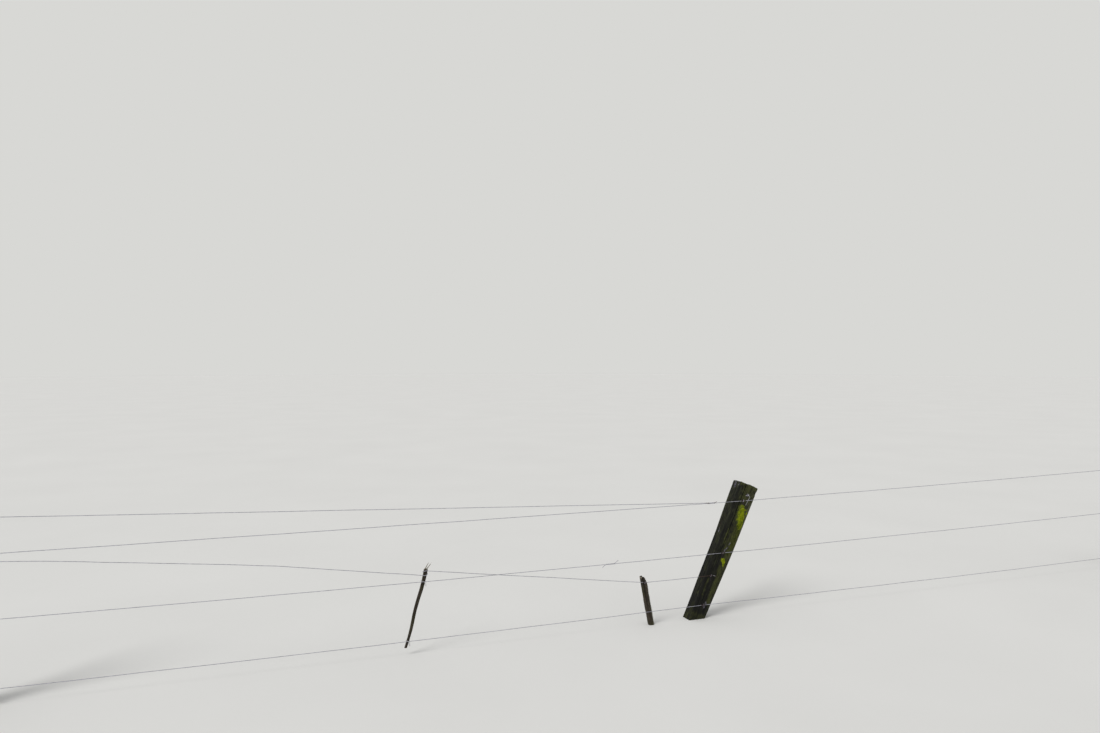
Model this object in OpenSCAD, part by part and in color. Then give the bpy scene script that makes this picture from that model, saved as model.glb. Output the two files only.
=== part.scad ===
// Two bays of an old post-and-wire farm fence. The middle post is a riven one that leans far over,
// the outer two stand nearly upright, and the wires are stapled to their front faces.
// +X runs along the fence, +Y to its back and +Z up. The origin is the middle of the leaning
// post's foot, at ground level.

/* [Fence line] */
// Distance from the leaning post's foot to the foot of each end post
bay_length = 5000; // [4500:50:5500]
// Diameter of the fence wire
wire_d = 4; // [3:0.1:4.6]
// Gap between a wire and whatever it lies on
wire_clearance = 0.3; // [0.2:0.05:0.5]

/* [Posts] */
// Width of the end posts along the fence
end_post_width = 145; // [125:1:170]
// Width of the leaning post at its foot
leaning_post_foot_width = 141; // [130:1:160]
// Width of the leaning post at its top
leaning_post_top_width = 192; // [170:1:205]
// Thickness of every post across the fence
post_thick = 115; // [95:1:140]
// Length of the leaning post above the ground, measured up its slope
leaning_post_length = 1180; // [1120:5:1300]
// Lean of the leaning post along the fence, in degrees
leaning_post_lean = 25; // [15:0.5:29]
// Bend of the leaning post, as the rise of its middle from a straight line
leaning_post_bow = 3; // [0:0.5:10]
// Length of the left end post above the ground
left_post_length = 1255; // [1220:5:1400]
// Length of the right end post above the ground
right_post_length = 1190; // [1100:5:1400]
// Lean of the two end posts away from upright, in degrees
end_post_lean = 1.5; // [0:0.1:3]
// Bend of the two end posts
end_post_bow = 4; // [0:0.5:8]
// Mean width of the worn-down edges of a post
arris = 9; // [5:0.5:14]
// How far the split faces of a post wander in and out
ripple = 3; // [0:0.25:5]
// How far a split face stands out between its worn edges
crown = 0.7; // [0.4:0.1:2]
// Height of the weathered shoulder under the top of a post
shoulder = 13; // [8:1:20]
// How much lower a post's top is at its left edge than at its right edge
top_slant = 17; // [0:1:25]

/* [Drying checks] */
// Width of a drying check where it opens on a face
check_width = 8; // [4:0.5:11]
// Greatest depth of the check in a front face
front_check_depth = 30; // [15:1:40]
// Greatest depth of the checks in the other faces
other_check_depth = 18; // [8:1:26]
// Distance of the front check to the left of a post's middle
front_check_place = 31; // [22:1:40]
// Distance of the back check to the right of a post's middle
back_check_place = 20; // [5:1:35]
// Distance of the side check behind a post's middle
side_check_place = 12; // [0:1:25]

/* [Wire heights] */
// Height of the top wire on the left post
top_wire_left_z = 1160; // [1080:1:1200]
// Height of the upper wire on the left and leaning posts
upper_wire_z = 932; // [900:1:960]
// Height of the upper wire on the right post
upper_wire_right_z = 993; // [960:1:1030]
// Height of the slack wire on the left post
slack_wire_left_z = 896; // [860:1:905]
// Height of the slack wire on the leaning post and on the broken stake
slack_wire_low_z = 344; // [320:1:370]
// Height of the middle wire on the left post
middle_wire_left_z = 535; // [500:1:560]
// Height of the middle wire on the leaning post
middle_wire_z = 519; // [495:1:540]
// Height of the middle wire on the right post
middle_wire_right_z = 562; // [530:1:600]
// Height of the bottom wire on every post
bottom_wire_z = 112; // [95:1:140]
// Sag of a bay of wire in its middle
wire_sag = 11; // [0:1:20]
// Upward set of the bent slack wire between the left post and the batten
slack_wire_set = 34; // [10:1:45]

/* [Staples and ties] */
// Diameter of the staple wire
staple_d = 3.8; // [3:0.1:4.5]
// Clear width between the legs of a staple
staple_gap = 10; // [8.5:0.1:13]
// Length of a staple's legs
staple_leg = 32; // [20:1:45]
// Turn of a staple across the grain, in degrees from upright
staple_turn = 25; // [10:1:40]
// Gap round a staple's leg in the wood
leg_clearance = 0.2; // [0.1:0.05:0.4]
// Place of the upper wire's staple along the fence, from the leaning post's middle
upper_staple_aside = -6; // [-15:1:15]
// Place of the middle wire's staple, from the leaning post's middle
middle_staple_aside = -10; // [-15:1:15]
// Place of the slack wire's staple, from the leaning post's middle
slack_staple_aside = -38; // [-40:1:0]
// Place of the half-drawn staple, from the leaning post's middle
drawn_staple_aside = 9; // [-15:1:20]
// How far the half-drawn staple stands out of the leaning post
drawn_staple_out = 15; // [8:1:24]
// Height of the half-drawn staple above the upper wire
drawn_staple_rise = 46; // [40:1:80]
// Drop of the cut tie that hangs from the half-drawn staple
cut_tie_drop = 84; // [70:1:110]
// Radius of the bend by which it hangs
cut_tie_bend = 11.5; // [9:0.5:14]
// Turns of a wire's end round itself where it is tied off
tie_turns = 3.25; // [2.25:1:5.25]
// Pitch of those turns
tie_pitch = 6.5; // [5.5:0.1:9]
// Distance of those turns from the post's edge
tie_gap = 22; // [15:1:60]
// Turns of the top wire round the upper wire beside the leaning post
join_turns = 6; // [4:1:8]
// Pitch of the turns of the top wire round the upper wire
join_pitch = 12; // [8:0.5:16]
// Place of the middle of that join along the fence
join_x = 126; // [60:1:180]
// Length of the cut tail at a tie or join
tail = 16; // [10:1:24]

/* [Splice in the middle wire] */
// Place of the splice's middle along the fence
splice_x = -770; // [-900:1:-700]
// Length of the twist of the splice
splice_length = 62; // [50:1:120]
// Turns of the two wires round each other
splice_turns = 2.5; // [1.5:1:3.5]
// Straight lead of each wire into the splice
splice_lead = 18; // [10:1:30]
// Length of the forked tails of the splice
fork = 42; // [20:1:50]
// Spread of the forked tails from the wire, in degrees
fork_spread = 32; // [15:1:38]

/* [Batten] */
// Height of the batten's top below its two long splinters
batten_top_z = 607; // [605:1:680]
// Height of the batten's lower end over the ground
batten_foot_z = 55; // [20:1:80]
// Place of the batten's top along the fence
batten_top_x = -2208; // [-2400:1:-2100]
// Lean of the batten along the fence, in degrees
batten_lean = 15; // [8:0.5:20]
// Width of the batten at its top
batten_top_width = 32; // [27:1:36]
// Width of the batten at its lower end
batten_foot_width = 21; // [17:1:28]
// Thickness of the batten across the fence
batten_thick = 24; // [20:1:32]
// Crook of the batten
batten_crook = 3; // [0:0.5:6]
// Depth of the ragged break across the batten's top
batten_break = 9; // [4:1:14]
// Length of the batten's two long splinters
batten_splinter = 60; // [30:1:75]
// Height at which the slack wire meets the batten
batten_wire_z = 558; // [545:1:560]
// Rise of the slack wire in its turn round the batten
batten_wire_rise = 34; // [28:1:36]
// Diameter of the wire of the ties that hold the batten
tie_d = 2.5; // [2:0.1:3]
// Rise and fall of a tie in its loop behind the batten
tie_rise = 7; // [4:0.5:9]
// Length of the twisted-off tails of a tie
tie_tail = 34; // [20:1:45]

/* [Broken stake] */
// Height of the stake's highest splinter over the slack wire
stake_rise = 52; // [44:1:90]
// Place of the stake's foot along the fence
stake_foot_x = -405; // [-600:1:-350]
// Lean of the stake away from the leaning post, in degrees
stake_lean = 11; // [0:0.5:14]
// Width of the stake along the fence
stake_width = 51; // [40:1:64]
// Thickness of the stake across the fence
stake_thick = 42; // [34:1:54]
// Depth of the slanting break in the stake's top
stake_break = 100; // [40:1:105]

/* [Detail] */
// Number of sides on a wire
wire_sides = 8; // [6:1:10]
// Number of stretches in a bay of wire
span_steps = 12; // [6:1:20]
// Number of steps in one turn of a coil
coil_steps = 10; // [8:1:14]
// Number of cuts in the length of a post
post_rings = 13; // [8:1:20]
// Number of sides on a stick
stick_sides = 12; // [8:2:16]
// Number of cuts in the length of the batten
batten_rings = 10; // [6:1:16]
// Number of cuts in the length of the stake
stake_rings = 6; // [4:1:10]
// Number of steps in the slack wire's turn round the batten
turn_steps = 16; // [12:2:24]

/* [Hidden] */

wood = [0.30, 0.29, 0.25];
dark_wood = [0.22, 0.20, 0.17];
zinc = [0.60, 0.60, 0.62];
rust = [0.42, 0.30, 0.24];

// Every front face lies in one plane, and the wires run just clear of it
face_y = -post_thick / 2;
wire_y = face_y - wire_clearance - wire_d / 2;
leg_r = staple_gap / 2 + staple_d / 2;
crown_y = wire_y - wire_d / 2 - wire_clearance - staple_d / 2 + leg_r;

// Where a coil's chords come nearest to the wire inside it, they still keep the clearance
coil_r = (wire_d + wire_clearance) / cos(180 / coil_steps);

// A post is [foot along the fence, length, lean, bow, start of its ripples in degrees,
// width at its foot, width at its top]
leaning = [
    0, leaning_post_length, leaning_post_lean, leaning_post_bow, 0,
    leaning_post_foot_width, leaning_post_top_width
];
left = [-bay_length, left_post_length, -end_post_lean, end_post_bow, 130, end_post_width, end_post_width];
right = [bay_length, right_post_length, end_post_lean, -end_post_bow, 250, end_post_width, end_post_width];

function unit(v) = v / norm(v);
function clamp(x) = min(1, max(0, x));
function up_slope(lean) = [sin(lean), 0, cos(lean)];
function off_slope(lean) = [cos(lean), 0, -sin(lean)];

// Half the width of a post at share t of its length
function half_width(post, t) = (post[5] + (post[6] - post[5]) * t) / 2;

// Centre line of a post, at share t of its length
function post_centre(post, t) =
    [post[0], 0, 0] + t * post[1] * up_slope(post[2]) + 4 * post[3] * t * (1 - t) * off_slope(post[2]);

// Share of a post's length at which its centre line is at height z, found in three closing steps
function post_share(post, z, t = 0, steps = 3) =
    steps == 0
        ? t
        : post_share(post, z,
            (z + 4 * post[3] * t * (1 - t) * sin(post[2])) / (post[1] * cos(post[2])), steps - 1);

// Place along the fence of a post's centre line at height z
function post_x(post, z) = post_centre(post, post_share(post, z))[0];

// A slow ripple from -1 to 1 along a post, different for each face
function wander(post, face, t) = 0.6 * sin(post[4] + 97 * face + 290 * t) + 0.4 * sin(61 * face + 640 * t);

// How open the check of a face is: the front one runs down from the top, the others close at both ends
function check_open(face, t) =
    face == 0 ? clamp((t - 0.3) / 0.45) : clamp(1.25 * sin(180 * clamp((t - 0.08 * face) / 0.75)));

// Outline of a post at share t of its length, seen from above and running round from the front left
function post_outline(post, t, inset = 0) =
    let (
        w = half_width(post, t) - inset,
        d = post_thick / 2 - inset,
        l = -w + ripple * (0.5 + 0.5 * wander(post, 1, t)),
        r = w - ripple * (0.5 + 0.5 * wander(post, 2, t)),
        b = d - ripple * (0.5 + 0.5 * wander(post, 3, t)),
        fl = arris * (1 + 0.5 * wander(post, 4, t)),
        fr = arris * (1 + 0.5 * wander(post, 5, t)),
        br = arris * (1.2 + 0.5 * wander(post, 6, t)),
        bl = arris * (1.2 + 0.5 * wander(post, 7, t)),
        half = check_width / 2,
        front = ripple * wander(post, 8, t) - front_check_place,
        back = ripple * wander(post, 9, t) + back_check_place,
        side = ripple * wander(post, 10, t) + side_check_place,
        front_cut = 0.5 + (front_check_depth - 0.5) * check_open(0, t),
        back_cut = 0.5 + (other_check_depth - 0.5) * check_open(1, t),
        side_cut = 0.5 + (other_check_depth - 0.5) * check_open(2, t)
    )
    [
        [l + fl, crown - d], [front - half, -d], [front - 1, front_cut - d], [front + half, -d],
        [r - fr, crown - d], [r - crown, fr - d], [r, side - half], [r - side_cut, side],
        [r, side + half], [r - crown, b - br], [r - br, b - crown], [back + half, b],
        [back, b - back_cut], [back - half, b], [l + bl, b - crown],
        [l + crown, b - bl], [l, 0], [l + crown, fl - d]
    ];

// One cut through a post. It is square to the slope, but slant tips its left edge down in a plane
// and drop_right wears its right edge down in a curve.
function post_ring(post, t, inset = 0, slant = 0, drop_right = 0) =
    [for (p = post_outline(post, t, inset))
        let (aside = p[0] / half_width(post, t))
        post_centre(post, t) + p[0] * off_slope(post[2]) + [0, p[1], 0]
            - (slant * (1 - aside) / 2 + drop_right * pow(clamp(aside), 2)) * up_slope(post[2])];

// The cut at the ground is level
function foot_ring(post) =
    [for (p = post_ring(post, 0)) p - p[2] / cos(post[2]) * up_slope(post[2])];

function post_rings_of(post) =
    let (
        first = 0.08,
        last = 1 - shoulder / post[1]
    )
    [
        foot_ring(post),
        for (i = [0 : post_rings - 2])
            post_ring(post, first + (last - first) * i / (post_rings - 1)),
        post_ring(post, last, 0, top_slant, shoulder),
        post_ring(post, 1, 0.55 * shoulder, top_slant)
    ];

// A solid through rings of points that run anticlockwise as seen from its far end. With a tip,
// the far end rises or sinks to that point, and without one it is flat.
module loft(rings, tip = undef) {
    n = len(rings[0]);
    last = len(rings) - 1;
    top = is_undef(tip)
        ? [[for (i = [n - 1 : -1 : 0]) last * n + i]]
        : [for (i = [0 : n - 1]) [last * n + (i + 1) % n, last * n + i, (last + 1) * n]];
    sides = [
        for (k = [0 : last - 1])
            for (i = [0 : n - 1])
                let (a = k * n + i, b = k * n + (i + 1) % n)
                each [[a, a + n, b + n], [a, b + n, b]]
    ];
    polyhedron(
        points = concat([for (ring = rings) each ring], is_undef(tip) ? [] : [tip]),
        faces = concat([[for (i = [0 : n - 1]) i]], sides, top),
        convexity = 6
    );
}

// Direction of a path at each of its points
function headings(path) =
    [for (i = [0 : len(path) - 1]) unit(path[min(i + 1, len(path) - 1)] - path[max(i - 1, 0)])];

// A side direction carried along the path without twisting
function square_to(heading, side) = unit(side - (side * heading) * heading);
function carried_sides(heads) =
    [for (i = 0, side = square_to(heads[0], [0.2, 1, 0.3]);
        i < len(heads);
        i = i + 1, side = square_to(heads[min(i, len(heads) - 1)], side)) side];

// A round wire of diameter d along a path
module wire_along(path, d) {
    heads = headings(path);
    sides = carried_sides(heads);
    loft([
        for (i = [0 : len(path) - 1])
            [for (k = [0 : wire_sides - 1])
                let (a = 360 * k / wire_sides)
                path[i] + d / 2 * (cos(a) * sides[i] + sin(a) * cross(heads[i], sides[i]))]
    ]);
}

// Point at share t of a wire that hangs from p to q
function hang(p, q, sag, t) = p + t * (q - p) - [0, 0, 4 * sag * t * (1 - t)];
function span(p, q, sag, from = 0, to = 1) =
    [for (i = [0 : span_steps]) hang(p, q, sag, from + (to - from) * i / span_steps)];

// Where a wire at height z is held on a post, so far aside from its middle
function held(post, z, aside = 0) = [post_x(post, z) + aside, wire_y, z];

// Turns of wire round a straight one that starts at p and runs along e, from a distance of a
function coil(p, e, down, a, turns, pitch, r) =
    [for (i = [0 : turns * coil_steps])
        let (angle = 360 * i / coil_steps)
        p + (a + pitch * i / coil_steps) * e + r * (cos(angle) * down + sin(angle) * [0, 1, 0])];

// A wire's end that goes round its staple's lower leg and is wound back on itself beside the post.
// p is where the staple holds it and q a point farther along the wire. The first point is the tail's.
function tied_end(p, q) =
    let (
        e = unit(q - p),
        away = e[0] > 0 ? 1 : -1,
        down = cross(e, [0, -away, 0]),
        leg_x = leg_r * sin(staple_turn),
        leg_z = leg_r * cos(staple_turn),
        start = end_post_width / 2 + tie_gap,
        turns = coil(p, e, down, start, tie_turns, tie_pitch, coil_r),
        last = turns[len(turns) - 1],
        before = turns[len(turns) - 2]
    )
    [
        last + tail * unit(unit(last - before) + 0.4 * unit(last - p - ((last - p) * e) * e)),
        for (i = [len(turns) - 1 : -1 : 0]) turns[i],
        for (i = [6 : -1 : 0])
            let (angle = 30 * i)
            p - [leg_x, 0, 0] - leg_z * [away * sin(angle), 0, 1 - cos(angle)]
    ];

function reversed(path) = [for (i = [len(path) - 1 : -1 : 0]) path[i]];
function without_first(path) = [for (i = [1 : len(path) - 1]) path[i]];

// A staple over a wire at p. Its crown stands out by so much more than the wire needs.
module staple(p, out = 0) {
    color(rust)
    translate([p[0], crown_y - out, p[2]])
    rotate([0, staple_turn, 0]) {
        rotate([0, 90, 180])
        rotate_extrude(angle = 180, $fn = 32)
            translate([leg_r, 0])
            circle(d = staple_d, $fn = 16);
        for (side = [-1, 1])
            translate([0, 0, side * leg_r])
            rotate([-90, 0, 0])
            cylinder(h = staple_leg, d = staple_d, $fn = 16);
    }
}

// The holes that the staple's legs have driven
module staple_holes(p) {
    translate([p[0], crown_y, p[2]])
    rotate([0, staple_turn, 0])
    for (side = [-1, 1])
        translate([0, -staple_d, side * leg_r])
        rotate([-90, 0, 0])
        cylinder(h = staple_leg + staple_d + leg_clearance, d = staple_d + 2 * leg_clearance, $fn = 16);
}

module riven_post(post, staples) {
    color(wood)
    difference() {
        loft(post_rings_of(post));
        for (p = staples)
            staple_holes(p);
    }
}

upper_hold = held(leaning, upper_wire_z, upper_staple_aside);
middle_hold = held(leaning, middle_wire_z, middle_staple_aside);
slack_hold = held(leaning, slack_wire_low_z, slack_staple_aside);
bottom_hold = held(leaning, bottom_wire_z);
drawn_hold = held(leaning, upper_wire_z + drawn_staple_rise, drawn_staple_aside);

left_top_hold = held(left, top_wire_left_z);
left_upper_hold = held(left, upper_wire_z);
left_slack_hold = held(left, slack_wire_left_z);
left_middle_hold = held(left, middle_wire_left_z);
left_bottom_hold = held(left, bottom_wire_z);

right_upper_hold = held(right, upper_wire_right_z);
right_middle_hold = held(right, middle_wire_right_z);
right_bottom_hold = held(right, bottom_wire_z);

module leaning_post() {
    riven_post(leaning, [upper_hold, middle_hold, slack_hold, bottom_hold, drawn_hold]);
}

module left_post() {
    riven_post(left, [left_top_hold, left_upper_hold, left_slack_hold, left_middle_hold, left_bottom_hold]);
}

module right_post() {
    riven_post(right, [right_upper_hold, right_middle_hold, right_bottom_hold]);
}

// The share of a span's length that a tied end leaves straight, so that its turns lie true
function past_tie(p, q) = (end_post_width / 2 + tie_gap + (tie_turns + 2) * tie_pitch) / norm(q - p);

// A wire tied off at both end posts and stapled in passing to the leaning one
module through_wire(left_hold, mid_hold, right_hold, left_sag, right_sag) {
    color(zinc)
    wire_along(
        concat(
            tied_end(left_hold, hang(left_hold, mid_hold, left_sag, past_tie(left_hold, mid_hold))),
            span(left_hold, mid_hold, left_sag, past_tie(left_hold, mid_hold)),
            without_first(span(mid_hold, right_hold, right_sag, 0, 1 - past_tie(right_hold, mid_hold))),
            reversed(tied_end(right_hold,
                hang(right_hold, mid_hold, right_sag, past_tie(right_hold, mid_hold))))
        ),
        wire_d
    );
}

module upper_wire() {
    through_wire(left_upper_hold, upper_hold, right_upper_hold, 0.3 * wire_sag, 0.5 * wire_sag);
}

module bottom_wire() {
    through_wire(left_bottom_hold, bottom_hold, right_bottom_hold, wire_sag, wire_sag);
}

// The top wire comes down from the left post and is wound round the upper wire beside the leaning post
join_length = join_turns * join_pitch;
function upper_at(x) =
    hang(left_upper_hold, upper_hold, 0.3 * wire_sag,
        (x - left_upper_hold[0]) / (upper_hold[0] - left_upper_hold[0]));

function joined_turns() =
    [for (i = [0 : join_turns * coil_steps])
        let (angle = 360 * i / coil_steps)
        upper_at(join_x - join_length / 2 + join_pitch * i / coil_steps)
            + coil_r * [0, -sin(angle), cos(angle)]];

module top_wire() {
    turns = joined_turns();
    start = turns[0] - [join_pitch, 0, 0];
    color(zinc)
    wire_along(
        concat(
            tied_end(left_top_hold, hang(left_top_hold, start, 0, past_tie(left_top_hold, start))),
            span(left_top_hold, start, 0, past_tie(left_top_hold, start)),
            turns,
            [turns[len(turns) - 1] + [0.4, -0.8, 0.45] * tail]
        ),
        wire_d
    );
}

// The middle wire has parted once, and its two ends are twisted round each other
function middle_at(x) =
    hang(left_middle_hold, middle_hold, wire_sag,
        (x - left_middle_hold[0]) / (middle_hold[0] - left_middle_hold[0]));
function middle_share(x) = (x - left_middle_hold[0]) / (middle_hold[0] - left_middle_hold[0]);

twist_r = (wire_d + wire_clearance) / 2 / cos(180 / coil_steps);
twist_steps = splice_turns * coil_steps;
function twisted(start_angle) =
    [for (i = [0 : twist_steps])
        let (angle = start_angle + 360 * i / coil_steps)
        middle_at(splice_x + splice_length * (i / twist_steps - 0.5))
            + twist_r * [0, sin(angle), cos(angle)]];

// A forked tail leaves the twist on the side where its wire ends, upwards on the right and
// down on the left
function forked(end, way) = end + fork * [way * cos(fork_spread), 0, way * sin(fork_spread)];

module middle_wire_left() {
    twist = twisted(180);
    tied = past_tie(left_middle_hold, middle_hold);
    share = middle_share(splice_x - splice_length / 2 - splice_lead);
    color(zinc)
    wire_along(
        concat(
            tied_end(left_middle_hold, hang(left_middle_hold, middle_hold, wire_sag, tied)),
            span(left_middle_hold, middle_hold, wire_sag, tied, share),
            twist,
            [forked(twist[len(twist) - 1], 1)]
        ),
        wire_d
    );
}

module middle_wire_right() {
    twist = twisted(0);
    share = middle_share(splice_x + splice_length / 2 + splice_lead);
    color(zinc)
    wire_along(
        concat(
            [forked(twist[0], -1)],
            twist,
            span(left_middle_hold, middle_hold, wire_sag, share, 1),
            without_first(span(middle_hold, right_middle_hold, 0.5 * wire_sag, 0,
                1 - past_tie(right_middle_hold, middle_hold))),
            reversed(tied_end(right_middle_hold,
                hang(right_middle_hold, middle_hold, 0.5 * wire_sag,
                    past_tie(right_middle_hold, middle_hold))))
        ),
        wire_d
    );
}

// Share of the batten's height at height z
function batten_share(z) = (z - batten_foot_z) / (batten_top_z - batten_foot_z);

// Centre line of the batten at height z. Its crook goes to and fro in waves, and the first of them
// starts a little above its foot.
crook_waves = 5 / 3;
crook_start = 27;
function batten_at(z) =
    [
        batten_top_x - (batten_top_z - z) * tan(batten_lean)
            + batten_crook * sin(360 * crook_waves * batten_share(z) - crook_start),
        face_y + batten_thick / 2,
        z
    ];

function batten_width(z) = batten_foot_width + (batten_top_width - batten_foot_width) * batten_share(z);

// Half of the room that a wire's centre line needs round the batten at height z, along the fence
// and across it
function round_batten(z, d, steps) =
    [
        batten_width(z) / 2 / cos(batten_lean) + d / 2 + wire_clearance,
        batten_thick / 2 + d / 2 + wire_clearance
    ] / cos(180 / steps);

// The slack wire takes one turn round the batten, and rises in it
function batten_turn() =
    [for (i = [0 : turn_steps])
        let (
            z = batten_wire_z + batten_wire_rise * i / turn_steps,
            angle = 360 * i / turn_steps - 90,
            room = round_batten(z, wire_d, turn_steps)
        )
        batten_at(z) + [room[0] * cos(angle), room[1] * sin(angle), 0]];

// A number drawn towards 1 or -1, the more so the smaller the power
function squared(x, power) = sign(x) * pow(abs(x), power);

// The batten is split to an oval and the stake to a rounded square
batten_power = 1;
stake_power = 0.55;

// One cut through a split stick. It is an oval at a power of 1 and squarer below that, and its
// front is flat. Where the stick is broken, the cut drops away to the right.
function stick_ring(centre, width, thick, power, seed, broken = 0) =
    [for (i = [0 : stick_sides - 1])
        let (
            a = 360 * i / stick_sides,
            worn = 1 - 0.07 * (0.5 + 0.5 * sin(seed * 77 + 131 * i)),
            ragged = 0.06 + 0.06 * sin(200 * i + 40),
            slant = 0.88 * clamp(cos(a))
        )
        centre + [
            worn * width / 2 * squared(cos(a), power),
            max(-1, 1.06 * worn * squared(sin(a), power)) * thick / 2,
            -broken * (ragged + slant)
        ]];

// A split stick along its centre points, with its width at each of them and a break at its top.
// The middle of the break lies a share of its depth below the highest splinter.
broken_middle = 0.35;
module split_stick(centres, widths, thick, power, broken) {
    last = len(centres) - 1;
    loft(
        [for (i = [0 : last])
            stick_ring(centres[i], widths[i], thick, power, i, i == last ? broken : 0)],
        tip = centres[last] - [0, 0, broken_middle * broken]
    );
}

// A long splinter that stands up from a point and leans so many degrees to the right. It narrows
// from cut to cut, and its point starts from the last of them.
splinter_cuts = 4;
splinter_narrows = 0.17;
splinter_point = 0.4;
module splinter(from, lean, width, thick) {
    loft(
        [for (k = [0 : splinter_cuts - 1])
            let (
                centre = from + batten_splinter * k / (splinter_cuts - 1 + splinter_point) * up_slope(lean),
                worn = 1 - splinter_narrows * k
            )
            [for (a = [0 : 60 : 300])
                centre + worn * [width / 2 * cos(a), thick / 2 * sin(a + 12 * k), 0]]],
        tip = from + batten_splinter * up_slope(lean)
    );
}

// The batten's top is split into two long splinters, a left and a right one. Each has a place, a
// width and a thickness, as shares of the batten's, and a lean of its own beyond the batten's.
left_splinter = [-0.24, 0.34, 0.66, 15];
right_splinter = [0.16, 0.3, 0.58, 23];
module batten() {
    rise = batten_top_z - batten_foot_z;
    heights = [for (i = [0 : batten_rings]) batten_foot_z + rise * i / batten_rings];
    root = batten_at(batten_top_z - batten_break);
    color(dark_wood)
    union() {
        split_stick(
            [for (z = heights) batten_at(z)], [for (z = heights) batten_width(z)],
            batten_thick, batten_power, batten_break
        );
        for (s = [left_splinter, right_splinter])
            splinter(
                root + [s[0] * batten_top_width, 0, 0], batten_lean + s[3],
                s[1] * batten_top_width, s[2] * batten_thick
            );
    }
}

// A tie goes round the batten, over the top of a fence wire and down across its front
module batten_tie(z) {
    c = batten_at(z);
    room = round_batten(z, tie_d, 6);
    front = wire_y - wire_d / 2 - tie_d / 2 - wire_clearance - c[1];
    over = (wire_d + tie_d) / 2 + wire_clearance + 2.5;
    color(zinc)
    wire_along(
        [
            for (p = [[0.8, front - 3, -tie_tail], [0.7, front + 2, -1.7 * over]])
                c + [p[0] * room[0], p[1], p[2]],
            for (i = [0 : 6])
                c + [room[0] * cos(30 * i), room[1] * sin(30 * i), tie_rise * (i / 3 - 1)],
            for (p = [
                [-0.74, wire_y - c[1], 1.15 * over], [-0.42, front, over], [0, front, 0],
                [0.34, front, -over], [0.42, front - 4, -0.8 * tie_tail]
            ])
                c + [p[0] * room[0], p[1], p[2]]
        ],
        tie_d
    );
}

function bottom_at(x) =
    hang(left_bottom_hold, bottom_hold, wire_sag,
        (x - left_bottom_hold[0]) / (bottom_hold[0] - left_bottom_hold[0]));

module batten_middle_tie() {
    batten_tie(middle_at(batten_at(middle_wire_z)[0])[2]);
}

module batten_bottom_tie() {
    batten_tie(bottom_at(batten_at(bottom_wire_z)[0])[2]);
}

// Centre line of the broken stake at height z
function stake_at(z) = [stake_foot_x - z * tan(stake_lean), face_y + stake_thick / 2, z];
stake_hold = [stake_at(slack_wire_low_z)[0], wire_y, slack_wire_low_z];
stake_top_z = slack_wire_low_z + stake_rise;

// The stake's cuts are evenly spaced up to just below its break
module broken_stake() {
    sound = stake_top_z - 1.06 * stake_break;
    heights = [for (i = [0 : stake_rings - 1]) sound * i / (stake_rings - 1), stake_top_z];
    color(wood)
    difference() {
        split_stick(
            [for (z = heights) stake_at(z)], [for (z = heights) stake_width],
            stake_thick, stake_power, stake_break
        );
        staple_holes(stake_hold);
    }
}

// A cut tie hooks over the lower leg of the half-drawn staple and hangs down in front of the upper wire
module cut_tie() {
    seat = leg_r * cos(staple_turn) - (staple_d + tie_d) / 2 - wire_clearance;
    bend = [0.9 * cut_tie_bend, -seat - cut_tie_bend];
    front = -(wire_d + tie_d) / 2 - wire_clearance;
    color(zinc)
    wire_along(
        [
            drawn_hold + [-1.5 * cut_tie_bend, front / 2, -seat - 3],
            drawn_hold + [-0.5 * cut_tie_bend, 0, -seat],
            for (i = [0 : 6])
                drawn_hold + [
                    bend[0] + cut_tie_bend * sin(18 * i),
                    front * i / 6,
                    bend[1] + cut_tie_bend * cos(18 * i)
                ],
            drawn_hold + [0.5 * cut_tie_bend, front, -drawn_staple_rise],
            drawn_hold + [-1.4 * cut_tie_bend, 0.4 * front, -cut_tie_drop]
        ],
        tie_d
    );
}

// The slack wire bows up a little from the left post to the batten, takes a turn round it, passes in front
// of the middle wire, and is stapled to the stake and the leaning post, just past which it has broken
module slack_wire() {
    turn = batten_turn();
    leave = turn[len(turn) - 1];
    fall = leave[2] - slack_wire_low_z;
    guess = hang(leave, stake_hold, 0, (leave[2] - middle_wire_z) / fall);
    crossing = hang(leave, stake_hold, 0, (leave[2] - middle_at(guess[0])[2]) / fall);
    start = past_tie(left_slack_hold, turn[0]);
    color(zinc)
    wire_along(
        concat(
            tied_end(left_slack_hold, hang(left_slack_hold, turn[0], -slack_wire_set, start)),
            span(left_slack_hold, turn[0], -slack_wire_set, start, 1),
            without_first(turn),
            [
                [crossing[0], wire_y - wire_d - wire_clearance, crossing[2]],
                stake_hold,
                slack_hold,
                slack_hold + tail * [2.2, -0.1, -0.3],
                slack_hold + tail * [3, -0.5, -1.3]
            ]
        ),
        wire_d
    );
}

leaning_post();
left_post();
right_post();
upper_wire();
top_wire();
slack_wire();
middle_wire_left();
middle_wire_right();
bottom_wire();
staple(upper_hold);  // upper_staple
staple(middle_hold);  // middle_staple
staple(slack_hold);  // slack_staple
staple(bottom_hold);  // bottom_staple
staple(drawn_hold, drawn_staple_out);  // drawn_staple
cut_tie();
staple(left_top_hold);  // left_top_staple
staple(left_upper_hold);  // left_upper_staple
staple(left_slack_hold);  // left_slack_staple
staple(left_middle_hold);  // left_middle_staple
staple(left_bottom_hold);  // left_bottom_staple
staple(right_upper_hold);  // right_upper_staple
staple(right_middle_hold);  // right_middle_staple
staple(right_bottom_hold);  // right_bottom_staple
batten();
batten_middle_tie();
batten_bottom_tie();
broken_stake();
staple(stake_hold);  // stake_staple
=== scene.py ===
"""The looks of two bays of an old post-and-wire farm fence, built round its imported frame.

Lengths are in metres and angles in radians. +X runs along the fence, +Y to its back and +Z up.
"""
from collections import namedtuple
from functools import reduce
from math import copysign, cos, exp, pi, radians, sin, tan

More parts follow.
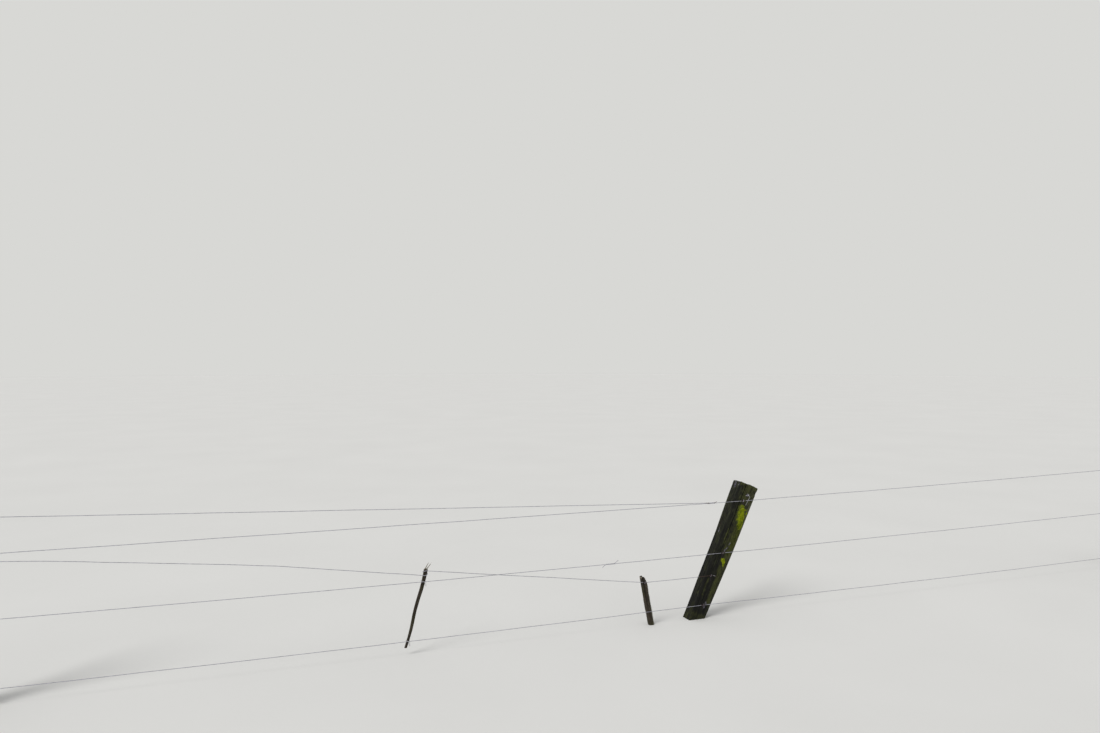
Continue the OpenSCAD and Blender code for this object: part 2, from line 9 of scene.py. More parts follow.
import bpy
import numpy as np
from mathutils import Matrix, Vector


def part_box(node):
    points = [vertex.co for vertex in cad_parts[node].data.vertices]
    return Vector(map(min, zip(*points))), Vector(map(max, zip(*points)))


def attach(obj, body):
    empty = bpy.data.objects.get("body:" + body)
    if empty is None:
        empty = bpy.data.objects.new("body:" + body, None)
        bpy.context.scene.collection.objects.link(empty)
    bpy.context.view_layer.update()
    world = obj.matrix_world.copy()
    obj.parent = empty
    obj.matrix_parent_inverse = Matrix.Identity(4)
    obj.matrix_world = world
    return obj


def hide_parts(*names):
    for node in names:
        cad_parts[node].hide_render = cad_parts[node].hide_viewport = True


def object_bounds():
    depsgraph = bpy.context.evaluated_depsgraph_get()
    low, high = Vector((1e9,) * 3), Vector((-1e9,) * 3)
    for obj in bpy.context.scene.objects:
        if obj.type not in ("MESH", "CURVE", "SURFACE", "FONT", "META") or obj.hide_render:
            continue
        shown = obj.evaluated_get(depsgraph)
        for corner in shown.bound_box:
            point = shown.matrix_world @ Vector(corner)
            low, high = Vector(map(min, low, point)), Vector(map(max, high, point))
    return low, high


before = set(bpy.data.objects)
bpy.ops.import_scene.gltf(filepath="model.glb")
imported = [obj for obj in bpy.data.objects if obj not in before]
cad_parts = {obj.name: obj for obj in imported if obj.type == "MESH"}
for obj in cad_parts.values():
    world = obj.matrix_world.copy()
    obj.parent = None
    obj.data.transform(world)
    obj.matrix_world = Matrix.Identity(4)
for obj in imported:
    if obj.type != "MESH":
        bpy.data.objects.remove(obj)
CAD_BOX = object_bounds()

# The camera of the photograph, whose picture is 1100 pixels wide and 733 high
PICTURE_WIDTH = 1100
FOCAL_PIXELS = 856
CAMERA_PLACE = (-3.536, -6.06, 2.13)
CAMERA_YAW, CAMERA_PITCH = radians(20.7), radians(-0.77)

# Sizes of the fence that the shapes below follow
BAY, END_POST_WIDTH, POST_THICK = 5.0, 0.145, 0.115
ARRIS, RIPPLE, CROWN, SHOULDER, TOP_SLANT = 0.009, 0.003, 0.0007, 0.013, 0.017
CHECK_WIDTH, CHECK_LIP, FRONT_CHECK, OTHER_CHECK = 0.008, 0.0005, 0.030, 0.018
FRONT_PLACE, BACK_PLACE, SIDE_PLACE = 0.031, 0.020, 0.012
WIRE_D, TIE_D, STAPLE_D, STAPLE_GAP = 0.004, 0.0025, 0.0038, 0.010
STAPLE_TURN = radians(25)
CLEARANCE = 0.0003
FACE_Y = -POST_THICK / 2
WIRE_Y = FACE_Y - CLEARANCE - WIRE_D / 2
LEG_R = (STAPLE_GAP + STAPLE_D) / 2
TIE_GAP, TIE_TURNS, TIE_PITCH, TAIL = 0.022, 3.25, 0.0065, 0.016
JOIN_X, JOIN_TURNS, JOIN_PITCH = 0.126, 6, 0.012
SPLICE_X, SPLICE_LENGTH, SPLICE_TURNS, SPLICE_LEAD = -0.770, 0.062, 2.5, 0.018
FORK, FORK_SPREAD = 0.042, radians(32)
DRAWN_RISE, CUT_TIE_DROP, CUT_TIE_BEND = 0.046, 0.084, 0.0115
WIRE_SAG, SLACK_SET = 0.011, 0.034
LEFT_SAG = {"upper": 0.3 * WIRE_SAG, "middle": WIRE_SAG, "bottom": WIRE_SAG}
RIGHT_SAG = {"upper": 0.5 * WIRE_SAG, "middle": 0.5 * WIRE_SAG, "bottom": WIRE_SAG}
BATTEN_TOP, BATTEN_FOOT, BATTEN_X, BATTEN_LEAN = 0.607, 0.055, -2.208, radians(15)
BATTEN_TOP_WIDTH, BATTEN_FOOT_WIDTH, BATTEN_THICK = 0.032, 0.021, 0.024
BATTEN_CROOK, CROOK_START, CROOK_TURN = 0.003, -27, 600
BATTEN_BREAK, BATTEN_SPLINTER = 0.009, 0.060
BATTEN_WIRE, BATTEN_RISE, TIE_RISE, TIE_TAIL = 0.558, 0.034, 0.007, 0.034
STAKE_TOP, STAKE_X, STAKE_LEAN = 0.396, -0.405, radians(11)
STAKE_WIDTH, STAKE_THICK, STAKE_BREAK = 0.051, 0.042, 0.100
BATTEN_POWER, STAKE_POWER = 1.0, 0.55

# Start is where a post's outline begins to wander, in degrees. Low and high are its widths at foot and top.
Post = namedtuple("Post", "foot length lean bow start low high")
POSTS = {
    "leaning_post": Post(0.0, 1.180, radians(25), 0.003, 0.0, 0.141, 0.192),
    "left_post": Post(-BAY, 1.255, radians(-1.5), 0.004, 130.0, END_POST_WIDTH, END_POST_WIDTH),
    "right_post": Post(BAY, 1.190, radians(1.5), -0.004, 250.0, END_POST_WIDTH, END_POST_WIDTH),
}
X, Y, Z = np.eye(3)


# Noise that gives the same result on every run

def lattice(ix, iy, seed):
    """A number from -1 to 1 for each whole-number place, by mixing the bits of its coordinates."""
    h = (ix.astype(np.int64) * 73856093) ^ (iy.astype(np.int64) * 19349663) ^ (seed * 83492791)
    h &= 0xFFFFFFFF
    h = ((h ^ (h >> 15)) * 0x2C1B3C6D) & 0xFFFFFFFF
    h = ((h ^ (h >> 12)) * 0x297A2D39) & 0xFFFFFFFF
    h ^= h >> 15
    return h / 0x7FFFFFFF - 1.0


def noise(x, y, seed, period=None):
    """Smooth noise from about -1 to 1. With a period, it repeats along x."""
    x, y = np.broadcast_arrays(np.asarray(x, float), np.asarray(y, float))
    ix, iy = np.floor(x), np.floor(y)
    fx, fy = x - ix, y - iy
    sx, sy = fx * fx * (3 - 2 * fx), fy * fy * (3 - 2 * fy)
    left, right = ix, ix + 1
    if period:
        left, right = left % period, right % period
    low = lattice(left, iy, seed) * (1 - sx) + lattice(right, iy, seed) * sx
    high = lattice(left, iy + 1, seed) * (1 - sx) + lattice(right, iy + 1, seed) * sx
    return low * (1 - sy) + high * sy


def layered(x, y, seed, octaves=3, period=None):
    total, size = 0.0, 0.0
    for k in range(octaves):
        scale = 2 ** k
        total = total + noise(x * scale, y * scale, seed + 17 * k, period * scale if period else None) / scale
        size += 1 / scale
    return total / size


def around(turn, waves, y, seed, octaves=1):
    """Noise with so many waves round a piece. turn goes from 0 to 1 round it, and the noise closes there."""
    return layered(turn * waves, y, seed, octaves, waves)


def furrows(turn, waves, y, seed, sharp):
    """From 0 to 1 in narrow lines, the narrower the sharper, along a piece."""
    return (1 - np.abs(around(turn, waves, y, seed))) ** sharp


def half(x):
    """A number from -1 to 1 as one from 0 to 1."""
    return 0.5 + 0.5 * x


def smooth(x, low, high):
    t = np.clip((x - low) / (high - low), 0, 1)
    return t * t * (3 - 2 * t)


def bell(x, width):
    """From 1 at 0 to nearly nothing two widths away."""
    return np.exp(-(x / width) ** 2)


def most(*masks):
    """The greatest of several masks at each place."""
    return reduce(np.maximum, masks)


# Short forms for places

def join(*parts):
    return np.concatenate(parts)


def stacked(*parts):
    """Arrays or numbers side by side along a new last axis."""
    return np.stack(np.broadcast_arrays(*parts), -1)


def norms(v):
    return np.linalg.norm(v, axis=-1)


def unit(v):
    return v / norms(v)[..., None]


def distances(path):
    """How far along a path each of its points is."""
    return join([0], np.cumsum(norms(np.diff(path, axis=0))))


def slope_axes(lean):
    """The directions up a leaning piece and square to it along the fence."""
    return sin(lean) * X + cos(lean) * Z, cos(lean) * X - sin(lean) * Z


# Materials

def colour(code):
    """A colour written as six hex digits, as the shader's red, green, blue and alpha."""
    parts = [int(code[i:i + 2], 16) / 255 for i in (0, 2, 4)]
    return [c / 12.92 if c <= 0.04045 else ((c + 0.055) / 1.055) ** 2.4 for c in parts] + [1.0]


class Shader:
    """A short way to write the nodes of a material or of the sky."""

    def __init__(self, owner):
        owner.use_nodes = True
        self.owner, self.tree = owner, owner.node_tree

    def put(self, socket, value):
        if isinstance(value, bpy.types.NodeSocket):
            self.tree.links.new(value, socket)
        else:
            socket.default_value = colour(value) if isinstance(value, str) else value

    def node(self, kind, inputs=None, **settings):
        made = self.tree.nodes.new("ShaderNode" + kind)
        for key, value in settings.items():
            setattr(made, key, value)
        for key, value in (inputs or {}).items():
            self.put(made.inputs[key], value)
        return made

    def attribute(self, name, output="Fac"):
        return self.node("Attribute", attribute_name=name).outputs[output]

    def parts(self, name):
        """The four masks that a colour attribute holds."""
        source = self.node("Attribute", attribute_name=name).outputs
        split = self.node("SeparateColor", {"Color": source["Color"]}).outputs
        return split[0], split[1], split[2], source["Alpha"]

    def place(self):
        return self.node("TexCoord").outputs["Object"]

    def stretched(self, place, scale, move=(0, 0, 0)):
        return self.node("Mapping", {"Vector": place, "Scale": scale, "Location": move}).outputs[0]

    def noise(self, place, scale, detail=4.0, roughness=0.55, distortion=0.0):
        settings = {"Scale": scale, "Detail": detail, "Roughness": roughness, "Distortion": distortion}
        return self.node("TexNoise", {"Vector": place, **settings}).outputs["Fac"]

    def math(self, operation, a, b=0.0):
        return self.node("Math", {0: a, 1: b}, operation=operation).outputs[0]

    def times(self, a, b):
        return self.math("MULTIPLY", a, b)

    def total(self, *terms):
        """A sum of sockets, each with its weight."""
        return reduce(lambda so_far, term: self.math("ADD", so_far, self.times(*term)), terms, 0.0)

    def fade(self, value, low, high, start=0.0, end=1.0):
        return self.node("MapRange", {
            "Value": value, "From Min": low, "From Max": high, "To Min": start, "To Max": end,
        }, interpolation_type="SMOOTHSTEP").outputs[0]

    def ramp(self, value, *stops):
        made = self.node("ValToRGB", {"Fac": value})
        for k, (place, code) in enumerate(stops):
            stop = made.color_ramp.elements[k] if k < 2 else made.color_ramp.elements.new(place)
            stop.position = place
            stop.color = colour(code)
        return made.outputs[0]

    def mix(self, share, under, over):
        return self.node("Mix", {0: share, 6: under, 7: over}, data_type="RGBA").outputs[2]

    def lay(self, under, masks, low, high, share, value, *stops):
        """Lays a ramp of colours over what is under it, as a sum of masks goes from low to high. Also gives
        its share at each place."""
        here = self.fade(self.total(*masks), low, high, 0.0, share)
        return self.mix(here, under, self.ramp(value, *stops)), here

    def finish(self, base, roughness, specular, metallic=0.0, bump=None):
        """The finished material. Its bump is a height and the distance that a height of 1 raises it."""
        surface = {"Base Color": base, "Roughness": roughness, "Specular IOR Level": specular,
                   "Metallic": metallic}
        if bump:
            surface["Normal"] = self.node("Bump", {"Height": bump[0], "Distance": bump[1]}).outputs[0]
        for key, value in surface.items():
            self.put(self.tree.nodes["Principled BSDF"].inputs[key], value)
        return self.owner


def new_shader(name):
    return Shader(bpy.data.materials.new(name))


def wood_material():
    """Old split wood: grey ridges over dark hollows, under algae, moss, lichen and rust. Its cracks are
    painted dark as shade, and painted light and shade vary it up and across the shaft.
    """
    s = new_shader("weathered_split_wood")
    high, crack, tone_and_painted_light, knot = s.parts("form")
    yellow, moss, pale, rust = s.parts("growth")
    grain, end = s.attribute("grain", "Vector"), s.attribute("end_grain")
    streaks = s.noise(s.stretched(grain, (1, 1, 0.05)), 300, 6, 0.62)
    fibres = s.noise(s.stretched(grain, (1, 1, 0.03)), 1100, 3, 0.6)
    blotches = s.noise(grain, 21, 5, 0.6)
    specks = s.noise(grain, 430, 4, 0.7)
    flecks = s.noise(grain, 130, 3, 0.6, 0.6)
    mottle = s.fade(s.noise(s.stretched(grain, (1, 1, 0.45)), 34, 5, 0.6), 0.34, 0.66)
    hairlines = s.fade(s.noise(s.stretched(grain, (1, 1, 0.022)), 520, 2, 0.5, 0.4), 0.36, 0.45, 1.0, 0.0)

    # The form's third mask is random lightness with painted light and shade: darker at the foot, lighter up
    # the shaft and towards the right
    depth = s.total((high, 0.28), (streaks, 0.46), (tone_and_painted_light, 0.22), (fibres, 0.16), (mottle, 0.20))
    wood = s.ramp(depth, (0.42, "0d0d09"), (0.56, "181911"), (0.68, "262819"), (0.81, "393b28"),
                  (0.95, "585a40"))
    reds = s.fade(blotches, 0.5, 0.72, 0.0, 0.16)
    wood = s.mix(reds, wood, s.ramp(streaks, (0.3, "171418"), (0.7, "343036")))
    wood = s.mix(s.times(hairlines, 0.72), wood, "0d0d0a")
    from_pith = s.stretched(grain, (1, 1, 0), (0.05, -0.09, 0))
    rings = s.node("TexWave", {"Vector": from_pith, "Scale": 75.0, "Distortion": 2.0, "Detail": 3.0},
                   wave_type="RINGS", rings_direction="Z").outputs["Fac"]
    ends = s.ramp(s.total((rings, 0.4), (specks, 0.8)), (0.25, "1a1913"), (0.6, "37352a"), (0.9, "5e5b4a"))
    wood = s.mix(end, wood, ends)
    wood = s.mix(s.times(knot, 0.7), wood, s.ramp(streaks, (0.35, "15110d"), (0.65, "383029")))

    wood, _ = s.lay(wood, [(moss, 1.0), (blotches, 0.5), (streaks, 0.3)], 0.44, 0.95, 0.75,
                    streaks, (0.3, "252712"), (0.5, "414420"), (0.75, "626538"))
    wood, pale_at = s.lay(wood, [(pale, 1.0), (flecks, 0.9)], 0.84, 0.98, 0.85,
                          specks, (0.3, "3f3e48"), (0.5, "5f5d69"), (0.75, "8f8b92"))
    wood, _ = s.lay(wood, [(rust, 1.0), (streaks, 0.45)], 0.40, 0.95, 0.85,
                    specks, (0.3, "211a20"), (0.55, "362c33"), (0.8, "574540"))
    wood, moss_at = s.lay(wood, [(moss, 1.0), (specks, 0.7), (blotches, 0.3)], 1.04, 1.26, 1.0,
                          specks, (0.3, "272c14"), (0.5, "494e24"), (0.72, "73793c"))
    wood, _ = s.lay(wood, [(yellow, 1.0), (blotches, 0.4), (specks, 0.3)], 0.42, 0.80, 0.85,
                    specks, (0.3, "2f3410"), (0.5, "4a5119"), (0.72, "6c7428"))
    wood, yellow_at = s.lay(wood, [(yellow, 1.0), (specks, 0.7), (blotches, 0.3)], 0.86, 1.24, 1.0,
                            specks, (0.3, "626e0b"), (0.5, "899510"), (0.72, "b0ba26"))
    # Painted shade: the cracks and checks are darkened nearly to black
    wood = s.mix(s.times(crack, 0.92), wood, "0b0a08")

    grown = s.times(specks, s.math("MAXIMUM", yellow_at, moss_at))
    height = s.total((streaks, 0.5), (fibres, 0.45), (hairlines, -0.45), (grown, 0.9), (pale_at, 0.12))
    return s.finish(wood, s.fade(specks, 0.2, 0.8, 0.8, 0.97), 0.25, bump=(height, 0.0011))


def stick_material():
    """Dark, weathered stick wood that shows paler fibres where it broke, with its splits painted dark as
    shade and a painted highlight along one edge of the stake.
    """
    s = new_shader("dark_stick_wood")
    high, crack, _, knot = s.parts("form")
    _, moss, pale, _ = s.parts("growth")
    grain, torn = s.attribute("grain", "Vector"), s.attribute("torn")
    streaks = s.noise(s.stretched(grain, (1, 1, 0.07)), 620, 6, 0.62)
    blotches = s.noise(grain, 38, 4, 0.6)
    specks = s.noise(grain, 560, 4, 0.7)
    depth = s.total((high, 0.34), (streaks, 0.60), (blotches, 0.30))
    wood = s.ramp(depth, (0.42, "14110d"), (0.58, "241f19"), (0.72, "3a332a"), (0.9, "5f5749"))
    wood, _ = s.lay(wood, [(moss, 1.0), (blotches, 0.5)], 0.55, 0.95, 0.6,
                    streaks, (0.3, "1f200e"), (0.7, "4a4a26"))
    # Pale lichen, and on the stake the painted highlight along its edge
    wood, _ = s.lay(wood, [(pale, 1.0), (specks, 0.8)], 0.80, 0.95, 0.9,
                    specks, (0.3, "5c5d55"), (0.7, "a3a394"))
    wood = s.mix(s.times(knot, 0.6), wood, "1d150f")
    wood, _ = s.lay(wood, [(torn, 1.0), (streaks, 0.5)], 0.7, 1.1, 0.9,
                    streaks, (0.3, "625b4f"), (0.5, "8a8375"), (0.7, "b3ab9b"))
    # Painted shade: the splits, and random splits among the fibres of the break, are darkened nearly to black
    wood = s.mix(s.times(crack, 0.9), wood, "0b0907")
    height = s.total((streaks, 0.7), (specks, 0.3))
    return s.finish(wood, s.fade(specks, 0.2, 0.8, 0.8, 0.96), 0.25, bump=(height, 0.0009))


def wire_material(name, low, middle, bright, rusted):
    """Dull galvanised wire that has rusted where it was bent, cut or nailed down."""
    s = new_shader(name)
    place = s.place()
    dull = s.noise(s.stretched(place, (0.25, 1, 1)), 130, 5, 0.6)
    spots = s.noise(place, 620, 4, 0.7)
    zinc = s.ramp(s.total((dull, 0.7), (spots, 0.3)), (0.32, low), (0.5, middle), (0.72, bright))
    masks = [(s.attribute("rust"), 1.0), (dull, 0.55), (spots, 0.45)]
    metal, rust_at = s.lay(zinc, masks, 0.84 - rusted, 1.08 - rusted, 1.0,
                           spots, (0.3, "2c2320"), (0.5, "4b3c36"), (0.75, "705b4f"))
    height = s.total((spots, 0.6), (s.times(spots, rust_at), 1.2))
    return s.finish(metal, s.fade(rust_at, 0.0, 1.0, 0.5, 0.9), 0.4, 0.45, bump=(height, 0.0003))


def staple_material(name, low, high, dull, bright):
    """Rust, with old zinc left between a low and a high value of its patches."""
    s = new_shader(name)
    place = s.place()
    scale = s.noise(place, 480, 5, 0.65)
    patches = s.noise(place, 120, 3, 0.6)
    rust = s.ramp(scale, (0.3, "2a201e"), (0.5, "4a3b36"), (0.7, "6f5d54"))
    metal, zinc_at = s.lay(rust, [(patches, 0.8), (scale, 0.2)], low, high, 0.85,
                           scale, (0.3, dull), (0.7, bright))
    return s.finish(metal, s.fade(zinc_at, 0.0, 0.8, 0.92, 0.55), 0.35, 0.3, bump=(scale, 0.0005))


def growth_material(name, dark, middle, light):
    s = new_shader(name)
    place = s.place()
    broad, fine = s.noise(place, 60, 3, 0.6), s.noise(place, 700, 3, 0.6)
    tint = s.ramp(s.total((broad, 0.6), (fine, 0.4)), (0.35, dark), (0.5, middle), (0.66, light))
    return s.finish(tint, s.fade(fine, 0.3, 0.7, 0.85, 1.0), 0.15, bump=(fine, 0.0004))


def floor_material():
    s = new_shader("pale_floor")
    cloud = s.noise(s.place(), 0.6, 4, 0.5)
    pale = s.ramp(cloud, (0.3, "e2e1dd"), (0.7, "e5e4e0"))
    return s.finish(pale, s.fade(cloud, 0.3, 0.7, 0.8, 0.9), 0.2)


WOOD = wood_material()
STICK = stick_material()
WIRE = wire_material("weathered_wire", "7b7a82", "a3a2ab", "cdccd3", 0.0)
TIE = wire_material("tie_wire", "8a8b8e", "afafb1", "d2d2d1", -0.06)
STAPLE = staple_material("rusted_staple", 0.44, 0.58, "7c7b82", "b4b2ba")
PALE_STAPLE = staple_material("worn_staple", 0.26, 0.40, "a29fae", "e0dde9")
YELLOW_LICHEN = growth_material("yellow_lichen", "5c680b", "869210", "adb726")
MOSS = growth_material("dry_moss", "272d12", "474d20", "6f7536")
PALE_LICHEN = growth_material("pale_lichen", "47454c", "69666f", "979399")


# Meshes

def mesh_object(name, points, faces, material, node=None):
    """A piece of the looks. With a node, it stands for that node of the frame."""
    mesh = bpy.data.meshes.new(name)
    mesh.from_pydata(np.asarray(points, float).tolist(), [], faces)
    obj = bpy.data.objects.new(name, mesh)
    bpy.context.scene.collection.objects.link(obj)
    mesh.materials.append(material)
    mesh.polygons.foreach_set("use_smooth", [True] * len(mesh.polygons))
    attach(obj, "root")
    if node:
        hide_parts(node)
    return obj


def store(obj, **layers):
    """Keeps values on the vertices for the material: one number, a place, or four masks each."""
    kinds = {1: ("FLOAT", "value"), 3: ("FLOAT_VECTOR", "vector"), 4: ("FLOAT_COLOR", "color")}
    for name, values in layers.items():
        values = np.array(values, np.float32).reshape(len(values), -1)
        kind, key = kinds[values.shape[1]]
        layer = obj.data.attributes.new(name=name, type=kind, domain="POINT")
        layer.data.foreach_set(key, values.ravel())


def ring_faces(rings, sides):
    """The quads of a closed skin, and the fans that close it on two last points, at its end and its start."""
    r, c = np.meshgrid(np.arange(rings - 1), np.arange(sides), indexing="ij")
    i, j = r * sides + c, r * sides + (c + 1) % sides
    faces = stacked(i, j, j + sides, i + sides).reshape(-1, 4).tolist()
    last, tip, base = (rings - 1) * sides, rings * sides, rings * sides + 1
    faces += [[last + k, last + (k + 1) % sides, tip] for k in range(sides)]
    faces += [[(k + 1) % sides, k, base] for k in range(sides)]
    return faces


def whole(shaft, end):
    """The values of a closed skin: its shaft's, its end's, and those of its two last points."""
    joined = join(shaft, end).reshape(-1, shaft.shape[-1])
    return join(joined, joined[-1:], joined[:1])


def held(staple):
    """Where the middle of a wire is under a staple."""
    low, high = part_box(staple)
    return np.array([(low.x + high.x) / 2, WIRE_Y, (low.z + high.z) / 2])


HOLD = {name: held(name + "_staple") for name in (
    "upper", "middle", "slack", "bottom", "drawn", "left_top", "left_upper", "left_slack", "left_middle",
    "left_bottom", "right_upper", "right_middle", "right_bottom", "stake")}


# The riven posts. A post's outline has 18 corners, and edge k runs from corner k to the next.

CORNERS = 18
CHECK_EDGES = (1, 2, 6, 7, 11, 12)
ARRIS_EDGES = (4, 9, 14, 17)
ARRIS_CORNERS = (0, 4, 5, 9, 10, 14, 15, 17)
FRONT, RIGHT, BACK, LEFT = range(4)
FACE_OF_EDGE = np.array([FRONT] * 4 + [-1] + [RIGHT] * 4 + [-1] + [BACK] * 4 + [-1] + [LEFT] * 2 + [-1])
OUTWARD = np.array([(0, -1), (1, 0), (0, 1), (-1, 0)], float)
CRACK_PLACES = [(0, 0.42), (3, 0.14), (3, 0.34), (3, 0.57), (3, 0.8), (5, 0.4), (8, 0.35), (8, 0.7),
                (10, 0.3), (10, 0.7), (13, 0.25), (13, 0.55), (13, 0.82), (15, 0.3), (15, 0.7), (16, 0.3),
                (16, 0.66)]
HOLLOW, FURROW, GRAIN, FIBRE, GROWTH_THICK = 0.0018, 0.0030, 0.0014, 0.0004, 0.0012
DENT, DENT_WIDTH, YEAR_RING, LEVEL_HEIGHT = 0.0022, 0.0045, 0.0042, 0.09


def wander(spec, face, t):
    a = spec.start + 97 * face + 290 * t
    b = 61 * face + 640 * t
    return 0.6 * np.sin(np.radians(a)) + 0.4 * np.sin(np.radians(b))


def check_open(face, t):
    if face == 0:
        return np.clip((t - 0.3) / 0.45, 0, 1)
    return np.clip(1.25 * np.sin(pi * np.clip((t - 0.08 * face) / 0.75, 0, 1)), 0, 1)


def half_width(spec, t):
    """Half the width of a post at share t of its length."""
    return (spec.low + (spec.high - spec.low) * t) / 2


def outline(spec, t):
    """Corners of a post's cut at each share t of its length, as an array of t, corner, and along or across.
    l, r and b are its left, right and back faces, and fl, fr, br and bl the widths of its arrises."""
    t = np.asarray(t, float)
    w, d = half_width(spec, t), POST_THICK / 2
    sway = [wander(spec, k, t) for k in range(11)]
    l, r, b = -w + RIPPLE * half(sway[1]), w - RIPPLE * half(sway[2]), d - RIPPLE * half(sway[3])
    fl, fr, br, bl = (ARRIS * (worn + 0.5 * sway[k]) for k, worn in ((4, 1), (5, 1), (6, 1.2), (7, 1.2)))
    lip = CHECK_WIDTH / 2
    front, back, side = (RIPPLE * sway[k] + place
                         for k, place in ((8, -FRONT_PLACE), (9, BACK_PLACE), (10, SIDE_PLACE)))
    front_cut, back_cut, side_cut = (CHECK_LIP + (deep - CHECK_LIP) * check_open(face, t)
                                     for face, deep in enumerate((FRONT_CHECK, OTHER_CHECK, OTHER_CHECK)))
    corners = [
        (l + fl, CROWN - d), (front - lip, -d), (front - 0.001, front_cut - d), (front + lip, -d),
        (r - fr, CROWN - d), (r - CROWN, fr - d), (r, side - lip), (r - side_cut, side),
        (r, side + lip), (r - CROWN, b - br), (r - br, b - CROWN), (back + lip, b),
        (back, b - back_cut), (back - lip, b), (l + bl, b - CROWN),
        (l + CROWN, b - bl), (l, 0), (l + CROWN, fl - d),
    ]
    return np.stack([stacked(*c) for c in corners], 1)


def random_cracks(rng):
    """Drying cracks along the grain, as edge, share of it, lowest and highest share, width and depth."""
    cracks = []
    for edge, share in CRACK_PLACES:
        middle, reach = rng.uniform(0.15, 0.95), rng.uniform(0.12, 0.42)
        share += rng.uniform(-0.05, 0.05)
        width, depth = rng.uniform(0.0028, 0.0048), rng.uniform(0.004, 0.014)
        cracks.append((edge, share, middle - reach, middle + reach, width, depth))
    return cracks


class Columns:
    """The columns of vertices round a post, with extra ones at its checks and cracks."""

    def __init__(self, spacing, cracks):
        corners = outline(POSTS["leaning_post"], [0.6])[0]
        lengths = norms(np.roll(corners, -1, 0) - corners)
        starts = join([0], np.cumsum(lengths))
        found = []
        for e, length in enumerate(lengths):
            steps = 5 if e in CHECK_EDGES else max(2, round(length / spacing))
            places = [(k / steps, -1) for k in range(steps)]
            for n, (edge, share, _, _, width, _) in enumerate(cracks):
                if edge != e:
                    continue
                reach = width / 2 / length
                places = [p for p in places if abs(p[0] - share) > 1.2 * reach]
                places += [(share - reach, -1), (share, n), (share + reach, -1)]
            found += [(e, share, starts[e] + share * length, n) for share, n in sorted(places)]
        self.count = len(found)
        self.edge, self.share, self.around, self.crack = (np.array(values) for values in zip(*found))
        self.turn = self.around / starts[-1]
        self.face = FACE_OF_EDGE[self.edge]
        self.in_check = np.isin(self.edge, CHECK_EDGES)
        self.in_arris = np.isin(self.edge, ARRIS_EDGES)
        worn = join(starts[list(ARRIS_CORNERS)], starts[-1:])
        self.to_arris = np.abs(self.around[:, None] - worn).min(1)
        before, after = (OUTWARD[FACE_OF_EDGE[(self.edge + step) % CORNERS]] for step in (-1, 1))
        turning = before * (1 - self.share[:, None]) + after * self.share[:, None]
        self.normal = unit(np.where(self.in_arris[:, None], turning, OUTWARD[self.face]))
        self.tangent = stacked(-self.normal[:, 1], self.normal[:, 0])

    def on(self, face):
        return (self.face == face).astype(float)


# Growth on the posts. A row is a streak's strength, step of its seed, softness, and points as (height up the
# post, middle across it, half width).
LEANING_LICHEN = [
    (0.46, 2, 0.6, [(0.800, 0.049, 0.024), (0.839, 0.035, 0.036), (0.874, 0.027, 0.046),
                    (0.914, 0.024, 0.051), (0.942, 0.018, 0.052), (0.968, 0.010, 0.048),
                    (0.990, 0.008, 0.038)]),
    (1.00, 0, 1.1, [(0.812, 0.056, 0.028), (0.839, 0.046, 0.038), (0.874, 0.038, 0.050),
                    (0.914, 0.033, 0.060), (0.942, 0.029, 0.060), (0.972, 0.021, 0.050)]),
    (0.32, 16, 0.8, [(0.735, 0.060, 0.018), (0.800, 0.054, 0.028), (0.830, 0.050, 0.030)]),
    (1.00, 1, 1.0, [(0.480, 0.042, 0.016), (0.496, 0.034, 0.027), (0.510, 0.027, 0.034),
                    (0.530, 0.019, 0.034)]),
]
LEANING_MOSS = [
    (0.60, 3, 1.0, [(0.64, -0.030, 0.014), (0.71, -0.036, 0.020), (0.77, -0.036, 0.012)]),
    (0.62, 4, 1.0, [(0.63, 0.034, 0.018), (0.73, 0.020, 0.022), (0.80, 0.016, 0.016)]),
    (0.36, 5, 1.4, [(0.19, -0.040, 0.020), (0.25, -0.046, 0.024), (0.34, -0.044, 0.016)]),
    (0.52, 6, 1.2, [(0.20, 0.030, 0.026), (0.36, 0.022, 0.028), (0.47, 0.010, 0.020)]),
    (0.46, 7, 1.5, [(0.56, 0.0, 0.05), (0.66, 0.0, 0.07), (0.74, 0.0, 0.06)]),
    (0.34, 11, 1.5, [(0.76, 0.0, 0.08), (0.90, 0.0, 0.09), (1.00, -0.01, 0.08)]),
    (0.42, 14, 1.0, [(1.01, 0.01, 0.08), (1.07, 0.01, 0.10), (1.17, 0.01, 0.10)]),
    (0.42, 13, 1.0, [(0.14, 0.036, 0.040), (0.40, 0.040, 0.044), (0.62, 0.040, 0.044)]),
    (0.74, 15, 1.0, [(0.56, 0.044, 0.036), (0.72, 0.046, 0.058), (0.90, 0.052, 0.052)]),
]
LEANING_PALE = [
    (0.52, 9, 1.5, [(0.565, 0.0, 0.040), (0.600, 0.004, 0.060), (0.640, 0.020, 0.044),
                    (0.670, 0.024, 0.024)]),
    (0.50, 10, 0.4, [(0.115, 0.018, 0.008), (0.150, 0.016, 0.008)]),
]
LEANING_LEFT_PALE = [(0.42, 12, 1.0, [(0.71, 0.0, 0.018), (0.75, 0.0, 0.022)])]
PLAIN_LICHEN = [
    (0.46, 4, 0.6, [(0.66, 0.034, 0.016), (0.74, 0.024, 0.030), (0.82, 0.010, 0.026)]),
    (1.00, 2, 1.1, [(0.68, 0.034, 0.016), (0.75, 0.028, 0.034), (0.80, 0.016, 0.028)]),
    (0.46, 7, 0.6, [(0.38, -0.012, 0.012), (0.43, -0.004, 0.024), (0.47, 0.004, 0.018)]),
    (1.00, 5, 1.1, [(0.39, -0.010, 0.012), (0.43, -0.002, 0.026), (0.46, 0.004, 0.016)]),
]
PLAIN_EDGE_MOSS = [(0.55, 4, 1.2, [(0.1, -0.05, 0.014), (0.5, -0.045, 0.024), (0.9, -0.05, 0.016)])]
PLAIN_MOSS = [(0.40, 5, 1.5, [(0.2, 0.02, 0.05), (0.6, 0.0, 0.06), (1.0, 0.01, 0.04)])]


